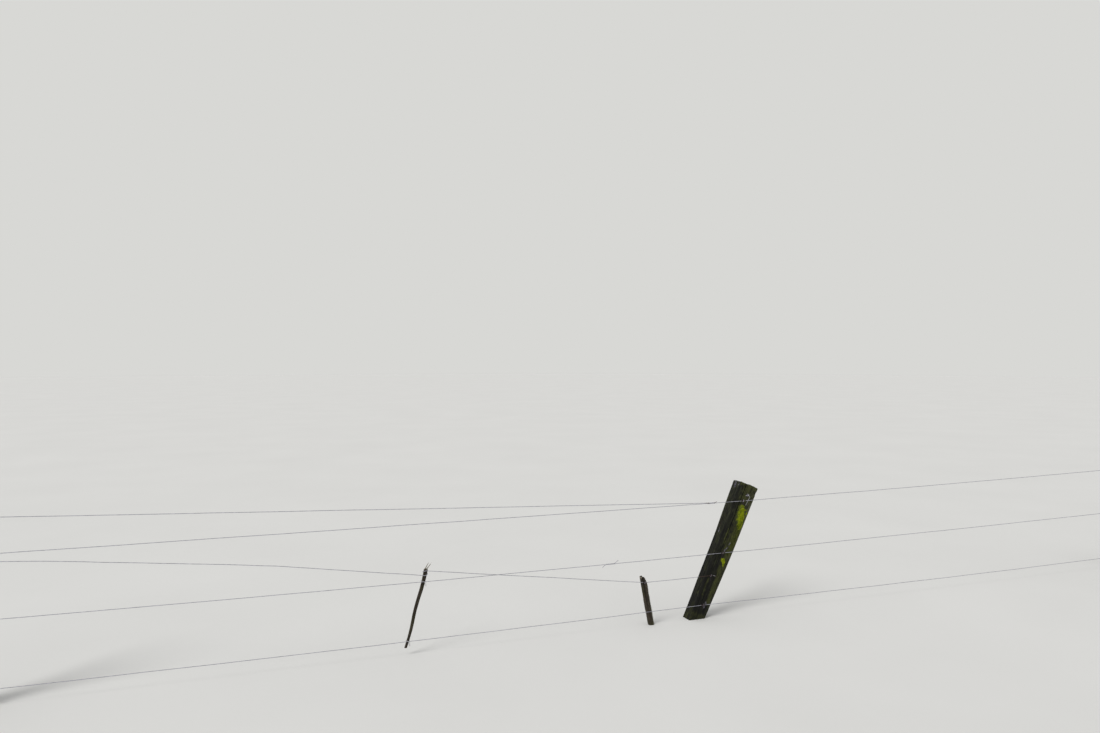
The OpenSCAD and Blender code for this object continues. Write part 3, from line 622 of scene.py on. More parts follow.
def streak(across, s, points, seed, soft):
    """A patch of growth with ragged edges."""
    heights, middles, widths = np.array(points).T
    middle, width = np.interp(s, heights, middles), np.interp(s, heights, widths)
    ragged = 0.45 * layered(across / 0.011, s / 0.022, seed, 3)
    inside = 1 - np.abs(across - middle) / width + ragged
    start, end = heights[0], heights[-1]
    ends = smooth(s, start - 0.03, start + 0.012) * (1 - smooth(s, end - 0.006, end + 0.012))
    return smooth(inside * ends, 0, soft)


def streaks(rows, across, s, seed):
    return most(*(strength * streak(across, s, points, seed + step, soft)
                  for strength, step, soft, points in rows))


def leaning_growth(cols, u, v, s, high, seed):
    """Masks of yellow lichen, moss and pale lichen on the leaning post, as the photograph shows them."""
    front, right, back, left = (cols.on(face) for face in range(4))
    broken = around(cols.turn, 30, s / 0.05, seed, 3)
    foot = 1 - smooth(s + 0.03 * broken, 0.015, 0.11)
    yellow = front * streaks(LEANING_LICHEN, u, s, seed)
    moss = most(
        front * streaks(LEANING_MOSS, u, s, seed),
        front * 0.42 * smooth(s + 0.02 * broken, 1.140, 1.168),
        0.4 * foot * (0.6 + 0.4 * broken),
        back * (0.30 + 0.40 * broken + 0.4 * foot),
        right * (0.20 + 0.32 * broken + 0.3 * foot),
        left * (0.10 + 0.22 * broken),
    )
    pale = most(
        front * 0.26 * smooth(s, 0.98, 1.12) * (1 - smooth(u, -0.04, 0.03)),
        front * streaks(LEANING_PALE, u, s, seed),
        left * (0.17 + 0.12 * broken + 0.16 * smooth(s, 1.04, 1.12)),
        left * streaks(LEANING_LEFT_PALE, v, s, seed),
        right * 0.18, back * 0.14,
    )
    return yellow, moss, pale


def plain_growth(cols, u, v, s, high, seed):
    """Masks for an end post: lichen under its staples, moss on its back and at its foot."""
    front, right, back, left = (cols.on(face) for face in range(4))
    broken = around(cols.turn, 30, s / 0.06, seed, 3)
    patchy = smooth(around(cols.turn, 13, s / 0.13, seed + 7, 3), 0.0, 0.5)
    drift = 0.02 * layered(s / 0.3, 0 * s, seed + 1)
    foot = 1 - smooth(s + 0.03 * broken, 0.015, 0.12)
    # The lichen lies a little differently on each end post
    shift = sin(2.3 * seed)
    yellow = front * streaks(PLAIN_LICHEN, u - 0.006 * (1 - shift), s - 0.03 * shift, seed)
    moss = most(
        front * streaks(PLAIN_EDGE_MOSS, u - drift, s, seed),
        front * streaks(PLAIN_MOSS, u, s, seed),
        0.6 * foot * (0.6 + 0.4 * broken),
        back * (0.35 + 0.45 * broken), right * (0.2 + 0.35 * broken), left * (0.2 + 0.35 * broken),
        0.5 * smooth(s + 0.02 * broken, high - 0.05, high - 0.01),
    )
    pale = most(front * (0.24 + 0.14 * broken), left * (0.20 + 0.26 * patchy), right * (0.16 + 0.2 * patchy),
                back * (0.12 + 0.2 * patchy))
    return yellow, moss, pale


def rust_runs(cols, u, s, staples, lean):
    """Rust that has run straight down from each staple, given as (across, height up the slope)."""
    rust = np.zeros_like(s)
    for k, (at, height) in enumerate(staples):
        below = height - s
        middle = at + np.clip(below, 0, 1) * tan(lean)
        width = 0.005 + 0.05 * np.clip(below, 0, 0.12)
        run = bell(u - middle, width) * smooth(below, -0.008, 0.004) * np.exp(-np.clip(below, 0, 1) / 0.05)
        spot = bell(np.hypot(u - at, below), 0.011)
        rust = np.maximum(rust, np.clip(run + spot, 0, 1) * (0.85 + 0.15 * cos(9 * k)))
    return rust * cols.on(FRONT)


def post_relief(cols, s, length, cracks, seed):
    """How far the split surface lies inside the post's outline, how much of that is a crack, and how far it
    would lie inside if it weren't held out near the arrises."""
    inland = 0.35 + 0.65 * smooth(cols.to_arris, 0.002, 0.022)
    wear = 1 + 0.7 * smooth(s / length, 0.86, 1.0)
    hollow = 0.0005 + HOLLOW * half(around(cols.turn, 12, s / 0.30, seed + 2, 2))
    furrow = FURROW * furrows(cols.turn, 36, s / 0.32, seed + 3, 5)
    grain = GRAIN * furrows(cols.turn, 88, s / 0.12, seed + 4, 3)
    fibre = FIBRE * around(cols.turn, 160, s / 0.05, seed + 5)
    depth = (hollow + (furrow + grain) * wear + fibre) * np.where(cols.in_check, 0.35, 1.0)
    relief = depth * inland - 0.0017 * cols.in_arris * np.sin(pi * cols.share)
    cut = np.zeros_like(s)
    for k, (_, _, start, end, _, deepest) in enumerate(cracks):
        at = cols.crack == k
        middle, reach = (start + end) / 2 * length, (end - start) / 2 * length
        along = np.sqrt(np.clip(1 - ((s[:, at] - middle) / reach) ** 2, 0, 1))
        cut[:, at] = deepest * along * (0.75 + 0.25 * noise(s[:, at] / 0.03, k, seed + 6))
    return relief + cut, cut, depth + cut


def knot_relief(cols, u, v, s, knots):
    """Knots with a swollen rim round a sunk heart, given as face, place across it, height and size."""
    depth, shade = np.zeros_like(s), np.zeros_like(s)
    for face, at, height, size in knots:
        across = u if face in (FRONT, BACK) else v
        ring = np.hypot((across - at) / size, (s - height) / (1.7 * size))
        heart = 0.0035 * bell(ring, 0.8) * (0.6 + 0.4 * np.cos(ring * 9))
        depth += cols.on(face) * (heart - 0.002 * bell(ring - 1.25, 0.45))
        shade += cols.on(face) * bell(ring, 1)
    return depth, np.clip(shade, 0, 1)


def staple_dents(cols, u, s, staples, lean):
    """The wood that each staple's two legs crushed as they were driven."""
    a = lean + STAPLE_TURN
    dents = np.zeros_like(s)
    for at, height in staples:
        for leg in (-LEG_R, LEG_R):
            dents += DENT * bell(np.hypot(u - at - leg * sin(a), s - height - leg * cos(a)), DENT_WIDTH)
    return dents * cols.on(FRONT)


def nicks_in(cols, s, nicks):
    """Chips off an edge of the outline, given as edge, height, reach up the post and depth."""
    depth = np.zeros_like(s)
    for edge, height, reach, deepest in nicks:
        near = bell(cols.around - cols.around[cols.edge == edge].mean(), 0.014)
        depth += deepest * near * bell(s - height, reach)
    return depth


def on_post(spec, hold):
    """Where a staple is on a post: across its front face, and up its slope."""
    up, off = slope_axes(spec.lean)
    p = hold - spec.foot * X
    s = p @ up
    t = s / spec.length
    return p @ off - 4 * spec.bow * t * (1 - t), s


def shaft_rows(length, rows):
    """Shares of a post's length up its shaft and round its shoulder, and how far inside each row lies."""
    shoulder = SHOULDER / length
    shaft = np.linspace(0, 1 - shoulder, rows)
    bend = np.radians(np.linspace(0, 90, 7)[1:])
    return (join(shaft, 1 - shoulder * (1 - np.sin(bend))),
            join(0 * shaft, 0.55 * SHOULDER * (1 - np.cos(bend))))


def plain_skin(spec, cols, t):
    """Places across a post's plain skin and up it. Near the foot the rows turn level with the ground."""
    corners, share = outline(spec, t), cols.share[:, None]
    flat = corners[:, cols.edge] * (1 - share) + corners[:, (cols.edge + 1) % CORNERS] * share
    s = np.repeat((t * spec.length)[:, None], cols.count, 1)
    level = flat[0, :, 0] * tan(spec.lean)
    return flat, np.where(s < LEVEL_HEIGHT, level * (1 - s / LEVEL_HEIGHT) + s, s)


def worn_off(cols, spec, t, across, cut, seed):
    """How far the top has worn down: it slants to its left edge, its right shoulder is rounded, and cracks
    break its edge."""
    top = smooth(t, 0.985, 1.0)[:, None]
    aside = across / half_width(spec, t)[:, None]
    slant = TOP_SLANT * (1 - aside) / 2 + 0.004 * smooth(-aside, -0.3, 0.4) * (1 + aside)
    return (slant * smooth(t, 0.915, 0.99)[:, None]
            + 0.010 * smooth(t, 0.93, 1.0)[:, None] * np.clip(aside, 0, 1) ** 2
            + 0.0016 * top * (1 + around(cols.turn, 40, 0, seed + 9)) + 0.45 * top * cut)


def post_top(rim, spec, cut, seed):
    """Rings of points that close the top of a post, with its year rings and the ends of its cracks."""
    up, off = slope_axes(spec.lean)
    heart = rim.mean(0)
    pith = heart - 0.05 * off + 0.085 * Y
    rings = []
    for size in np.linspace(1, 0, 15)[1:-1]:
        p = heart + (rim - heart) * size
        far = np.hypot((p - pith) @ off, (p - pith)[:, 1])
        drop = (0.0007 * np.sin(2 * pi * far / YEAR_RING + 2 * noise(far / 0.01, 0, seed + 10))
                + 0.002 * noise(p[:, 0] / 0.012, p[:, 1] / 0.012, seed + 11)
                + 0.5 * cut * size ** 0.7)
        rings.append(p + up * (0.001 * (1 - size)) - drop[:, None] * up)
    return np.array(rings), heart - 0.002 * up


def shaft_form(cols, t, s, u, length, cut, depth, shade, seed):
    """What the wood's material reads on a shaft: its height, its cracks, which it darkens as painted shade,
    its random lightness with painted light and shade, and its knots.
    """
    open_check = np.select(
        [np.isin(cols.edge, CHECK_EDGES[:2]), np.isin(cols.edge, CHECK_EDGES[2:4]), cols.in_check],
        [check_open(face, t)[:, None] for face in (0, 2, 1)], 0.0)
    # Where the wood is cracked; the material paints shade there
    crack = np.clip(cut / 0.004 + open_check * np.sin(pi * cols.share / 2 + 0.3), 0, 1)
    # Random lightness, plus painted light and shade: the shaft is painted darker towards its foot, lighter
    # towards its top, and lighter towards its right-hand side
    tone_and_painted_light = (0.5 + 0.35 * around(cols.turn, 11, s / 0.5, seed + 13, 3) + 1.6 * (s / length - 0.71)
            + 4.5 * u + 4 * np.clip(u, 0, 1))
    return stacked(1 - np.clip(depth / 0.0048, 0, 1), crack, tone_and_painted_light, shade)


def top_values(tops, form, cover, seed):
    """The form and the growth on a post's top, which has its own heights and more moss."""
    x, y = tops[..., 0], tops[..., 1]
    form, cover = (np.repeat(values[-1:], len(tops), 0) for values in (form, cover))
    form[..., 0] = 0.35 + 0.3 * noise(x / 0.006, y / 0.006, seed + 14)
    cover[..., 0] *= 0.4
    cover[..., 1] = np.clip(0.45 + 0.5 * layered(x / 0.02, y / 0.02, seed + 12), 0, 1)
    cover[..., 3] = 0
    return form, cover


def placed(spec, skin, height):
    """Where a post's skin is, from its places across the post and up its slope. Its foot stands level."""
    up, off = slope_axes(spec.lean)
    here = height / spec.length
    aside = 4 * spec.bow * here * (1 - here) + skin[..., 0]
    place = spec.foot * X + aside[..., None] * off + height[..., None] * up + skin[..., 1:] * Y
    place[0, :, 2] = 0.0
    return place


def riven_post(name, seed, spacing, rows, growth, holds, knots=(), nicks=()):
    """The detailed post that stands for a post of the frame, and the masks of its growth."""
    spec = POSTS[name]
    up, off = slope_axes(spec.lean)
    cracks = random_cracks(np.random.default_rng(seed))
    cols = Columns(spacing, cracks)
    t, inset = shaft_rows(spec.length, rows)
    flat, s = plain_skin(spec, cols, t)

    # The grain wanders, and every column and crack wanders with it
    inner = smooth(cols.to_arris, 0.001, 0.016) * ~cols.in_arris
    sway = 0.0034 * around(cols.turn, 9, s / 0.26, seed + 1, 2)
    flat = flat + cols.tangent * (sway * inner)[..., None]
    u, v = flat[..., 0], flat[..., 1]
    relief, cut, depth = post_relief(cols, s, spec.length, cracks, seed)
    knot_depth, shade = knot_relief(cols, u, v, s, knots)
    staples = [on_post(spec, HOLD[hold]) for hold in holds]
    marks = knot_depth + staple_dents(cols, u, s, staples, spec.lean)
    masks = [np.clip(mask, 0, 1) for mask in growth(cols, u, v, s, spec.length, seed + 20)]
    thick = GROWTH_THICK * np.clip(masks[0] + 0.8 * masks[1], 0, 1.2)
    thick = thick * (0.6 + 0.4 * around(cols.turn, 110, s / 0.004, seed + 8))
    relief = np.maximum(relief + marks + nicks_in(cols, s, nicks) - thick, 0.0001)

    skin = flat - cols.normal * (relief + inset[:, None])[..., None]
    place = placed(spec, skin, s - worn_off(cols, spec, t, skin[..., 0], cut, seed))
    tops, tip = post_top(place[-1], spec, cut[-8:].max(0), seed)
    points = join(place.reshape(-1, 3), tops.reshape(-1, 3), [tip, place[0].mean(0)])
    faces = ring_faces(len(t) + len(tops), cols.count)
    post = mesh_object(name + "_wood", points, faces, WOOD, name)

    form = shaft_form(cols, t, s, u, spec.length, cut, depth + marks, shade, seed)
    cover = stacked(*masks, rust_runs(cols, u, s, staples, spec.lean))
    top_form, top_cover = top_values(tops, form, cover, seed)
    from_foot = tops - spec.foot * X
    cover = whole(cover, top_cover)
    store(post, form=whole(form, top_form), growth=cover,
          grain=whole(stacked(u, v, s), stacked(from_foot @ off, from_foot[..., 1], from_foot @ up)),
          end_grain=whole(stacked(0 * s + smooth(t, 0.994, 1.0)[:, None]), stacked(1 + 0 * tops[..., 0])))
    return post, cover


# The wires. Each is a tube along a path whose formulas are the part's, in finer steps.

COIL_STEPS, WIRE_SIDES, TIE_SIDES = 20, 12, 10
COIL_R = WIRE_D + CLEARANCE


def hang(p, q, sag, t):
    t = np.asarray(t, float)[..., None]
    return p + t * (q - p) - 4 * sag * t * (1 - t) * Z


def kinked(path, seed, amount):
    """Small bends in a stretch of wire, which fade out towards its two ends."""
    along = distances(path)
    free = smooth(along, 0.02, 0.25) * smooth(along[-1] - along, 0.02, 0.25)
    up = layered(along / 0.42, 0, seed, 3)
    out = layered(along / 0.30, 0, seed + 5, 2)
    return path + (amount * free)[:, None] * (up[:, None] * Z + 0.5 * out[:, None] * Y)


def span(p, q, sag, start=0.0, end=1.0, seed=0, amount=0.0016):
    steps = max(8, int(norms(q - p) * (end - start) / 0.03))
    return kinked(hang(p, q, sag, np.linspace(start, end, steps + 1)), seed, amount)


def tied_end(p, q):
    """An end that goes round its staple's lower leg and is wound back on its own wire, from its tail on."""
    e = unit(q - p)
    away = copysign(1, e[0])
    i = np.arange(int(TIE_TURNS * COIL_STEPS) + 1)[:, None] / COIL_STEPS
    round_wire = np.cos(2 * pi * i) * np.cross(e, -away * Y) + np.sin(2 * pi * i) * Y
    turns = p + (END_POST_WIDTH / 2 + TIE_GAP + TIE_PITCH * i) * e + COIL_R * round_wire
    last, before = turns[-1], turns[-2]
    out = last - p - ((last - p) @ e) * e
    tail = last + TAIL * unit(unit(last - before) + 0.4 * unit(out))
    angle = np.linspace(pi, 0, 15)
    loop = stacked(away * np.sin(angle), 0, 1 - np.cos(angle))
    return join([tail], turns[::-1], p - LEG_R * sin(STAPLE_TURN) * X - LEG_R * cos(STAPLE_TURN) * loop)


def past_tie(p, q):
    return (END_POST_WIDTH / 2 + TIE_GAP + (TIE_TURNS + 2) * TIE_PITCH) / norms(q - p)


def rounded(path):
    """Eases each corner of a path over a short length beside it."""
    path = path[join([True], norms(np.diff(path, axis=0)) > 1e-5)]
    made = [path[0]]
    for a, b, c in zip(path, path[1:], path[2:]):
        ease = 0.25 * min(norms(b - a), norms(c - b), 0.012)
        made += [b - ease * unit(b - a), b + ease * unit(c - b)]
    return np.array(made + [path[-1]])


def tube(name, node, path, d, material, rust_at=(), sides=WIRE_SIDES):
    """A round wire along a path, cut square at both ends. rust_at are points round which it has rusted."""
    path = rounded(path)
    heads = unit(np.gradient(path, axis=0))
    side = unit(np.cross(heads[0], [0.2, 0.9, 0.3]))
    rings, rust = [], []
    angle = 2 * pi * np.arange(sides)[:, None] / sides
    for p, head in zip(path, heads):
        side = unit(side - (side @ head) * head)
        rings.append(p + d / 2 * (np.cos(angle) * side + np.sin(angle) * np.cross(head, side)))
        near = min([norms(p - r) for r in rust_at] + [9.0])
        rust += [0.72 * exp(-(near / 0.030) ** 2)] * sides
    points = join(*rings, path[-1:], path[:1])
    wire = mesh_object(name, points, ring_faces(len(rings), sides), material, node)
    store(wire, rust=[*rust, rust[-1], rust[0]])


def fence_wire(node, path, rust_at):
    """The wire that stands for a wire of the frame. It has rusted at its ends, but not in the splice."""
    rusted = [p for p in (path[0], path[-1], *rust_at) if abs(p[0] - SPLICE_X) > 0.2]
    tube(node + "_strand", node, path, WIRE_D, WIRE, rusted)


def tie_wire(node, path):
    tube(node + "_wire", node, path, TIE_D, TIE, sides=TIE_SIDES)


def from_left(left, to, sag, end, seed, amount=0.0016):
    """A wire from its tied-off end at the left post as far as a share of its way to another point."""
    start = past_tie(left, to)
    return join(tied_end(left, hang(left, to, sag, start)), span(left, to, sag, start, end, seed, amount))


def to_right(wire, seed):
    """A wire from the leaning post to its tied-off end at the right post."""
    mid, right, sag = HOLD[wire], HOLD["right_" + wire], RIGHT_SAG[wire]
    tie = past_tie(right, mid)
    end = tied_end(right, hang(right, mid, sag, tie))
    return join(span(mid, right, sag, 0, 1 - tie, seed)[1:], end[::-1])


def through_wire(wire, seed):
    """A wire tied off at both end posts and stapled in passing to the leaning one."""
    left, mid, right = HOLD["left_" + wire], HOLD[wire], HOLD["right_" + wire]
    path = join(from_left(left, mid, LEFT_SAG[wire], 1, seed), to_right(wire, seed + 1))
    fence_wire(wire + "_wire", path, [left, mid, right])


def share_at(wire, x):
    """The share of a left bay's wire at a place along the fence."""
    left = HOLD["left_" + wire]
    return (x - left[0]) / (HOLD[wire][0] - left[0])


def wire_at(wire, x):
    return hang(HOLD["left_" + wire], HOLD[wire], LEFT_SAG[wire], share_at(wire, x))


def top_wire():
    """It comes down from the left post, and is wound round the upper wire beside the leaning post."""
    i = np.arange(JOIN_TURNS * COIL_STEPS + 1)[:, None] / COIL_STEPS
    turns = wire_at("upper", JOIN_X - JOIN_TURNS * JOIN_PITCH / 2 + JOIN_PITCH * i[:, 0])
    turns = turns + COIL_R * (np.cos(2 * pi * i) * Z - np.sin(2 * pi * i) * Y)
    left, tail = HOLD["left_top"], turns[-1] + np.array([0.4, -0.8, 0.45]) * TAIL
    path = join(from_left(left, turns[0] - JOIN_PITCH * X, 0, 1, 31), turns, [tail])
    fence_wire("top_wire", path, [left, turns[0]])


def twisted(start_angle):
    """One strand of the splice in the middle wire."""
    i = np.linspace(0, 1, int(SPLICE_TURNS * COIL_STEPS) + 1)
    angle = start_angle + 2 * pi * SPLICE_TURNS * i[:, None]
    middle = wire_at("middle", SPLICE_X + SPLICE_LENGTH * (i - 0.5))
    return middle + COIL_R / 2 * (np.sin(angle) * Y + np.cos(angle) * Z)


def forked(end, way):
    """A cut tail that bends away from the splice, upwards on the right and down on the left."""
    shares = np.linspace(1, 0.2, 5)[:, None]
    tail = shares * (cos(FORK_SPREAD) * X + sin(FORK_SPREAD) * Z) - 0.05 * np.sin(pi * shares) * Z
    return end + way * FORK * tail


def middle_wires():
    """One wire that parted and was joined again: its two halves twist round each other."""
    left, mid, reach = HOLD["left_middle"], HOLD["middle"], SPLICE_LENGTH / 2 + SPLICE_LEAD
    start, end = share_at("middle", SPLICE_X - reach), share_at("middle", SPLICE_X + reach)
    twist = twisted(pi)
    path = join(from_left(left, mid, WIRE_SAG, start, 41), twist, forked(twist[-1], 1)[::-1])
    fence_wire("middle_wire_left", path, [left])
    twist = twisted(0.0)
    path = join(forked(twist[0], -1), twist, span(left, mid, WIRE_SAG, end, 1, 43), to_right("middle", 44))
    fence_wire("middle_wire_right", path, [mid, HOLD["right_middle"]])


# The batten and the stake: split sticks, whose cuts are rough ovals

def batten_share(z):
    return (np.asarray(z, float) - BATTEN_FOOT) / (BATTEN_TOP - BATTEN_FOOT)


def batten_at(z):
    t = batten_share(z)
    crook = BATTEN_CROOK * np.sin(np.radians(CROOK_TURN * t + CROOK_START))
    x = BATTEN_X - (1 - t) * (BATTEN_TOP - BATTEN_FOOT) * tan(BATTEN_LEAN) + crook
    return stacked(x, FACE_Y + BATTEN_THICK / 2, z)


def batten_width(z):
    return BATTEN_FOOT_WIDTH + (BATTEN_TOP_WIDTH - BATTEN_FOOT_WIDTH) * batten_share(z)


def stake_at(z):
    return stacked(STAKE_X - z * tan(STAKE_LEAN), FACE_Y + STAKE_THICK / 2, z)


def stake_width(z):
    return STAKE_WIDTH


def squared(x, power):
    """A number drawn towards 1 or -1, the more so the smaller the power."""
    return np.sign(x) * np.abs(x) ** power


def even_angles(width, thick, power, sides):
    """Angles that lie evenly along the edge of a stick's cut."""
    fine = np.linspace(0, 2 * pi, 4001)
    along = distances(stacked(width * squared(np.cos(fine), power), thick * squared(np.sin(fine), power)))
    return np.interp(np.arange(sides) / sides * along[-1], along, fine)


# Broken is how far a stick's break drops away to the right, and fray how unevenly its fibres end. Fresh is
# how pale the break is on the right and at its highest, on the left. One value paints a highlight: how pale
# the lower part of the right front edge is made. A knot is its angle, height and reach.
Stick = namedtuple("Stick", "centre_at width_at foot top thick power broken fray fresh strip knots seed")
STICKS = {
    "batten": Stick(
        batten_at, batten_width, BATTEN_FOOT, BATTEN_TOP, BATTEN_THICK, BATTEN_POWER, BATTEN_BREAK,
        fray=0.008, fresh=(0.55, 0.55), strip=0.0, knots=[(0.5, 0.40, 0.03), (3.6, 0.22, 0.025)], seed=101),
    # The stake has a painted highlight along the lower part of its right front edge
    "broken_stake": Stick(
        stake_at, stake_width, 0.0, STAKE_TOP, STAKE_THICK, STAKE_POWER, STAKE_BREAK,
        fray=0.012, fresh=(0.25, 1.0), strip=0.6, knots=[(2.8, 0.16, 0.03)], seed=111),
}
STICK_SIDES, STICK_ROWS, STICK_CAPS = 84, 240, 12


def stick_relief(stick, turn, angle, s, t):
    """The share of a stick's radius that furrows, cracks and knots leave, how deep the furrows are, and how
    much of a crack and of a knot each place is."""
    seed = stick.seed
    size = 1 - 0.04 * half(layered(s / 0.16, 0 * s, seed, 2))
    hollow = 0.05 * half(around(turn, 5, s / 0.12, seed + 1, 2))
    furrow = 0.10 * furrows(turn, 13, s / 0.16, seed + 2, 4)
    grain = 0.05 * furrows(turn, 37, s / 0.06, seed + 3, 3)
    sway = 0.10 * layered(s / 0.2, 0 * s, seed + 4)
    split = (0.34 * bell(angle - 4.3 - sway, 0.07) * smooth(t, 0.15, 0.5)
             + 0.26 * bell(angle - 1.2 + sway, 0.08) * (1 - smooth(t, 0.5, 0.8)))
    swell, shade = np.zeros_like(split), np.zeros_like(split)
    for at, height, reach in stick.knots:
        ring = np.hypot((angle - at) / 0.5, (s - height) / reach)
        swell += 0.16 * bell(ring - 0.9, 0.45) - 0.10 * bell(ring, 0.5)
        shade += bell(ring, 1)
    share = np.clip(size * (1 - hollow - furrow - grain - split) + swell, 0.3, 1.0)
    return share, furrow + grain + hollow, split, shade


def stick_end(stick, rim, turn):
    """Rings inside the rim of a stick's break, whose fibres stand at uneven heights, and their middle."""
    middle = rim.mean(0)
    middle[2] = stick.top - 0.35 * stick.broken - 0.5 * stick.fray
    rings = []
    for k in np.linspace(1, 0, STICK_CAPS + 2)[1:-1]:
        p = middle + (rim - middle) * k
        uneven = 0.4 + 0.6 * around(turn, 21, k * 5, stick.seed + 8)
        p[:, 2] -= stick.fray * (1 - k) ** 0.5 * k ** 0.3 * uneven
        rings.append(p)
    return np.array(rings), middle


def stick_values(stick, turn, angle, s, deep, split, shade):
    """What a stick's material reads on its shaft and on its end."""
    right, left = stick.fresh
    pale_break = right + (left - right) * smooth(-np.cos(angle), 0.3, 0.8)
    bare = 0.012 + 0.020 * half(around(turn, 31, 0, stick.seed + 11))
    torn = pale_break * smooth(s, s[-1] - bare, s[-1] - 0.3 * bare)
    # The split mask, which the material darkens as painted shade
    form = stacked(1 - np.clip(deep / 0.2, 0, 1), np.clip(split / 0.25, 0, 1), 0.5, np.clip(shade, 0, 1))
    end_form = np.repeat(form[-1:], STICK_CAPS, 0)
    # Random splits among the broken fibres, which the material darkens as painted shade
    end_form[..., 1] = 0.5 * half(around(turn, 28, np.arange(STICK_CAPS)[:, None], stick.seed + 9))
    moss = np.clip(0.35 + 0.5 * around(turn, 4, s / 0.07, stick.seed + 10, 3), 0, 1) * (1 - torn)
    # A little pale lichen everywhere, and a painted highlight: a pale strip along the lower part of the right
    # front edge
    edge = bell(angle - 2 * pi + 0.86, 0.26) * (1 - smooth(s, 0.28, 0.33))
    pale = np.clip(0.2 + stick.strip * edge, 0, 1) * (1 - torn)
    growth = stacked(0, moss, pale, 0)
    return dict(form=whole(form, end_form), growth=whole(growth, np.repeat(growth[-1:], STICK_CAPS, 0)),
                torn=whole(stacked(torn), np.tile(pale_break[:, None], (STICK_CAPS, 1, 1))))


def split_stick(name, node):
    """A rough stick, furrowed along its grain and cracked, whose fibres each end at their own height."""
    stick = STICKS[node]
    turn = np.arange(STICK_SIDES) / STICK_SIDES
    angle = even_angles(float(stick.width_at(stick.foot)), stick.thick, stick.power, STICK_SIDES)
    t = np.linspace(0, 1, STICK_ROWS)[:, None]
    peaks = half(around(turn, 5, 0, stick.seed + 6, 2))
    frayed = half(around(turn, 28, 0, stick.seed + 7))
    drop = (stick.broken * (0.03 + 0.88 * np.clip(np.cos(angle), 0, 1))
            + stick.fray * (0.45 * peaks + 0.55 * frayed))
    s = t * (stick.top - stick.foot - drop)
    share, deep, split, shade = stick_relief(stick, turn, angle, s, t)
    along = stick.width_at(stick.foot + s) / 2 * share * squared(np.cos(angle), stick.power)
    across = stick.thick / 2 * np.maximum(1.05 * share * squared(np.sin(angle), stick.power), -1)
    place = stick.centre_at(stick.foot + s) + stacked(along, across, 0)
    rings, middle = stick_end(stick, place[-1], turn)
    points = join(place.reshape(-1, 3), rings.reshape(-1, 3), [middle, place[0].mean(0)])
    faces = ring_faces(STICK_ROWS + STICK_CAPS, STICK_SIDES)
    made = mesh_object(name, points, faces, STICK, node)
    grain = whole(stacked(along, across, s), rings - middle + (stick.top - stick.foot) * Z)
    store(made, **stick_values(stick, turn, angle, s, deep, split, shade), grain=grain)


# How much of its width a long splinter loses along its length, and how bluntly it ends
PRONG_TAPER, PRONG_POINT = 0.578, 4.15
PRONG_SIDES, PRONG_ROWS = 24, 44
SLIVER_SIDES, SLIVER_ROWS = 7, 9


def splinters(name, parts, torn):
    """Splinters as one piece. A part is its rings, its tip and root, and its places in its own grain."""
    points, faces, grain = [], [], []
    for rings, ends, places in parts:
        faces += [[i + len(points) for i in face] for face in ring_faces(*rings.shape[:2])]
        points += [*rings.reshape(-1, 3), *ends]
        grain += [*places]
    made = mesh_object(name, points, faces, STICK)
    same = np.ones((len(points), 1))
    store(made, form=same * [0.6, 0, 0.5, 0], growth=same * [0, 0, 0, 0], grain=grain, torn=same * torn)


def prong(root, lean, width, thick, seed):
    """One long splinter, furrowed and narrowing to a ragged end."""
    turn = np.arange(PRONG_SIDES) / PRONG_SIDES
    t = np.linspace(0, 1, PRONG_ROWS)[:, None]
    narrow = np.minimum(1 - PRONG_TAPER * t, PRONG_POINT * (1 - t) + 0.02)
    furrow = 0.30 * furrows(turn, 7, t * 1.6, seed, 4)
    bite = 0.34 * smooth(around(turn, 3, t * 5, seed + 2), 0.2, 0.7) * smooth(t, 0.35, 0.8)
    r = narrow * (0.97 - furrow - bite - 0.06 * half(around(turn, 5, t * 4, seed + 1)))
    short = 0.30 * half(around(turn, 6, 0, seed + 3)) * t ** 2 * (1 - smooth(t, 0.96, 1.0))
    along = (BATTEN_SPLINTER * (t - short))[..., None]
    across = stacked(width / 2 * r * np.cos(2 * pi * turn), thick / 2 * r * np.sin(2 * pi * turn), 0)
    rings, grain = root + across + along * slope_axes(lean)[0], across + along * Z
    ends, grain_ends = ([places[-1].mean(0), places[0].mean(0)] for places in (rings, grain))
    return rings, ends, [*grain.reshape(-1, 3), *grain_ends]


def prongs(name, specs, seed):
    """The long splinters of the batten's top. A spec is place across it, width, thickness and extra lean."""
    root = batten_at(BATTEN_TOP - BATTEN_BREAK)
    parts = []
    for k, (at, width, thick, lean) in enumerate(specs):
        parts.append(prong(root + at * BATTEN_TOP_WIDTH * X, BATTEN_LEAN + radians(lean),
                           width * BATTEN_TOP_WIDTH, thick * BATTEN_THICK, seed + 5 * k))
    splinters(name, parts, 1.0)


def slivers(name, roots, torn, seed):
    """Thin torn fibres. A root is place, length, lean along the fence, lean across it and thickness. The
    grain starts at the first point of the first one."""
    angle = 2 * pi * np.arange(SLIVER_SIDES) / SLIVER_SIDES
    t = np.arange(SLIVER_ROWS)[:, None] / SLIVER_ROWS
    rng = np.random.default_rng(seed)
    parts, first = [], None
    for place, length, lean_x, lean_y, thick in roots:
        curl = rng.uniform(-0.12, 0.12, 2)
        r = thick / 2 * (1 - t ** 1.4) * rng.uniform(0.7, 1.15, SLIVER_SIDES)
        middle = place + length * stacked(lean_x * t + curl[0] * t * t, lean_y * t + curl[1] * t * t, t)
        rings = middle + stacked(r * np.cos(angle), 0.6 * r * np.sin(angle), 0)
        tip = place + length * np.array([lean_x + curl[0], lean_y + curl[1], 1])
        first = rings[0, 0] if first is None else first
        parts.append((rings, [tip, place], join(rings.reshape(-1, 3), [tip, place]) - first))
    splinters(name, parts, torn)


def round_batten(z, d):
    """Half of the room that a wire's middle needs round the batten, along the fence and across it."""
    return batten_width(z) / 2 / cos(BATTEN_LEAN) + d / 2 + CLEARANCE, BATTEN_THICK / 2 + d / 2 + CLEARANCE


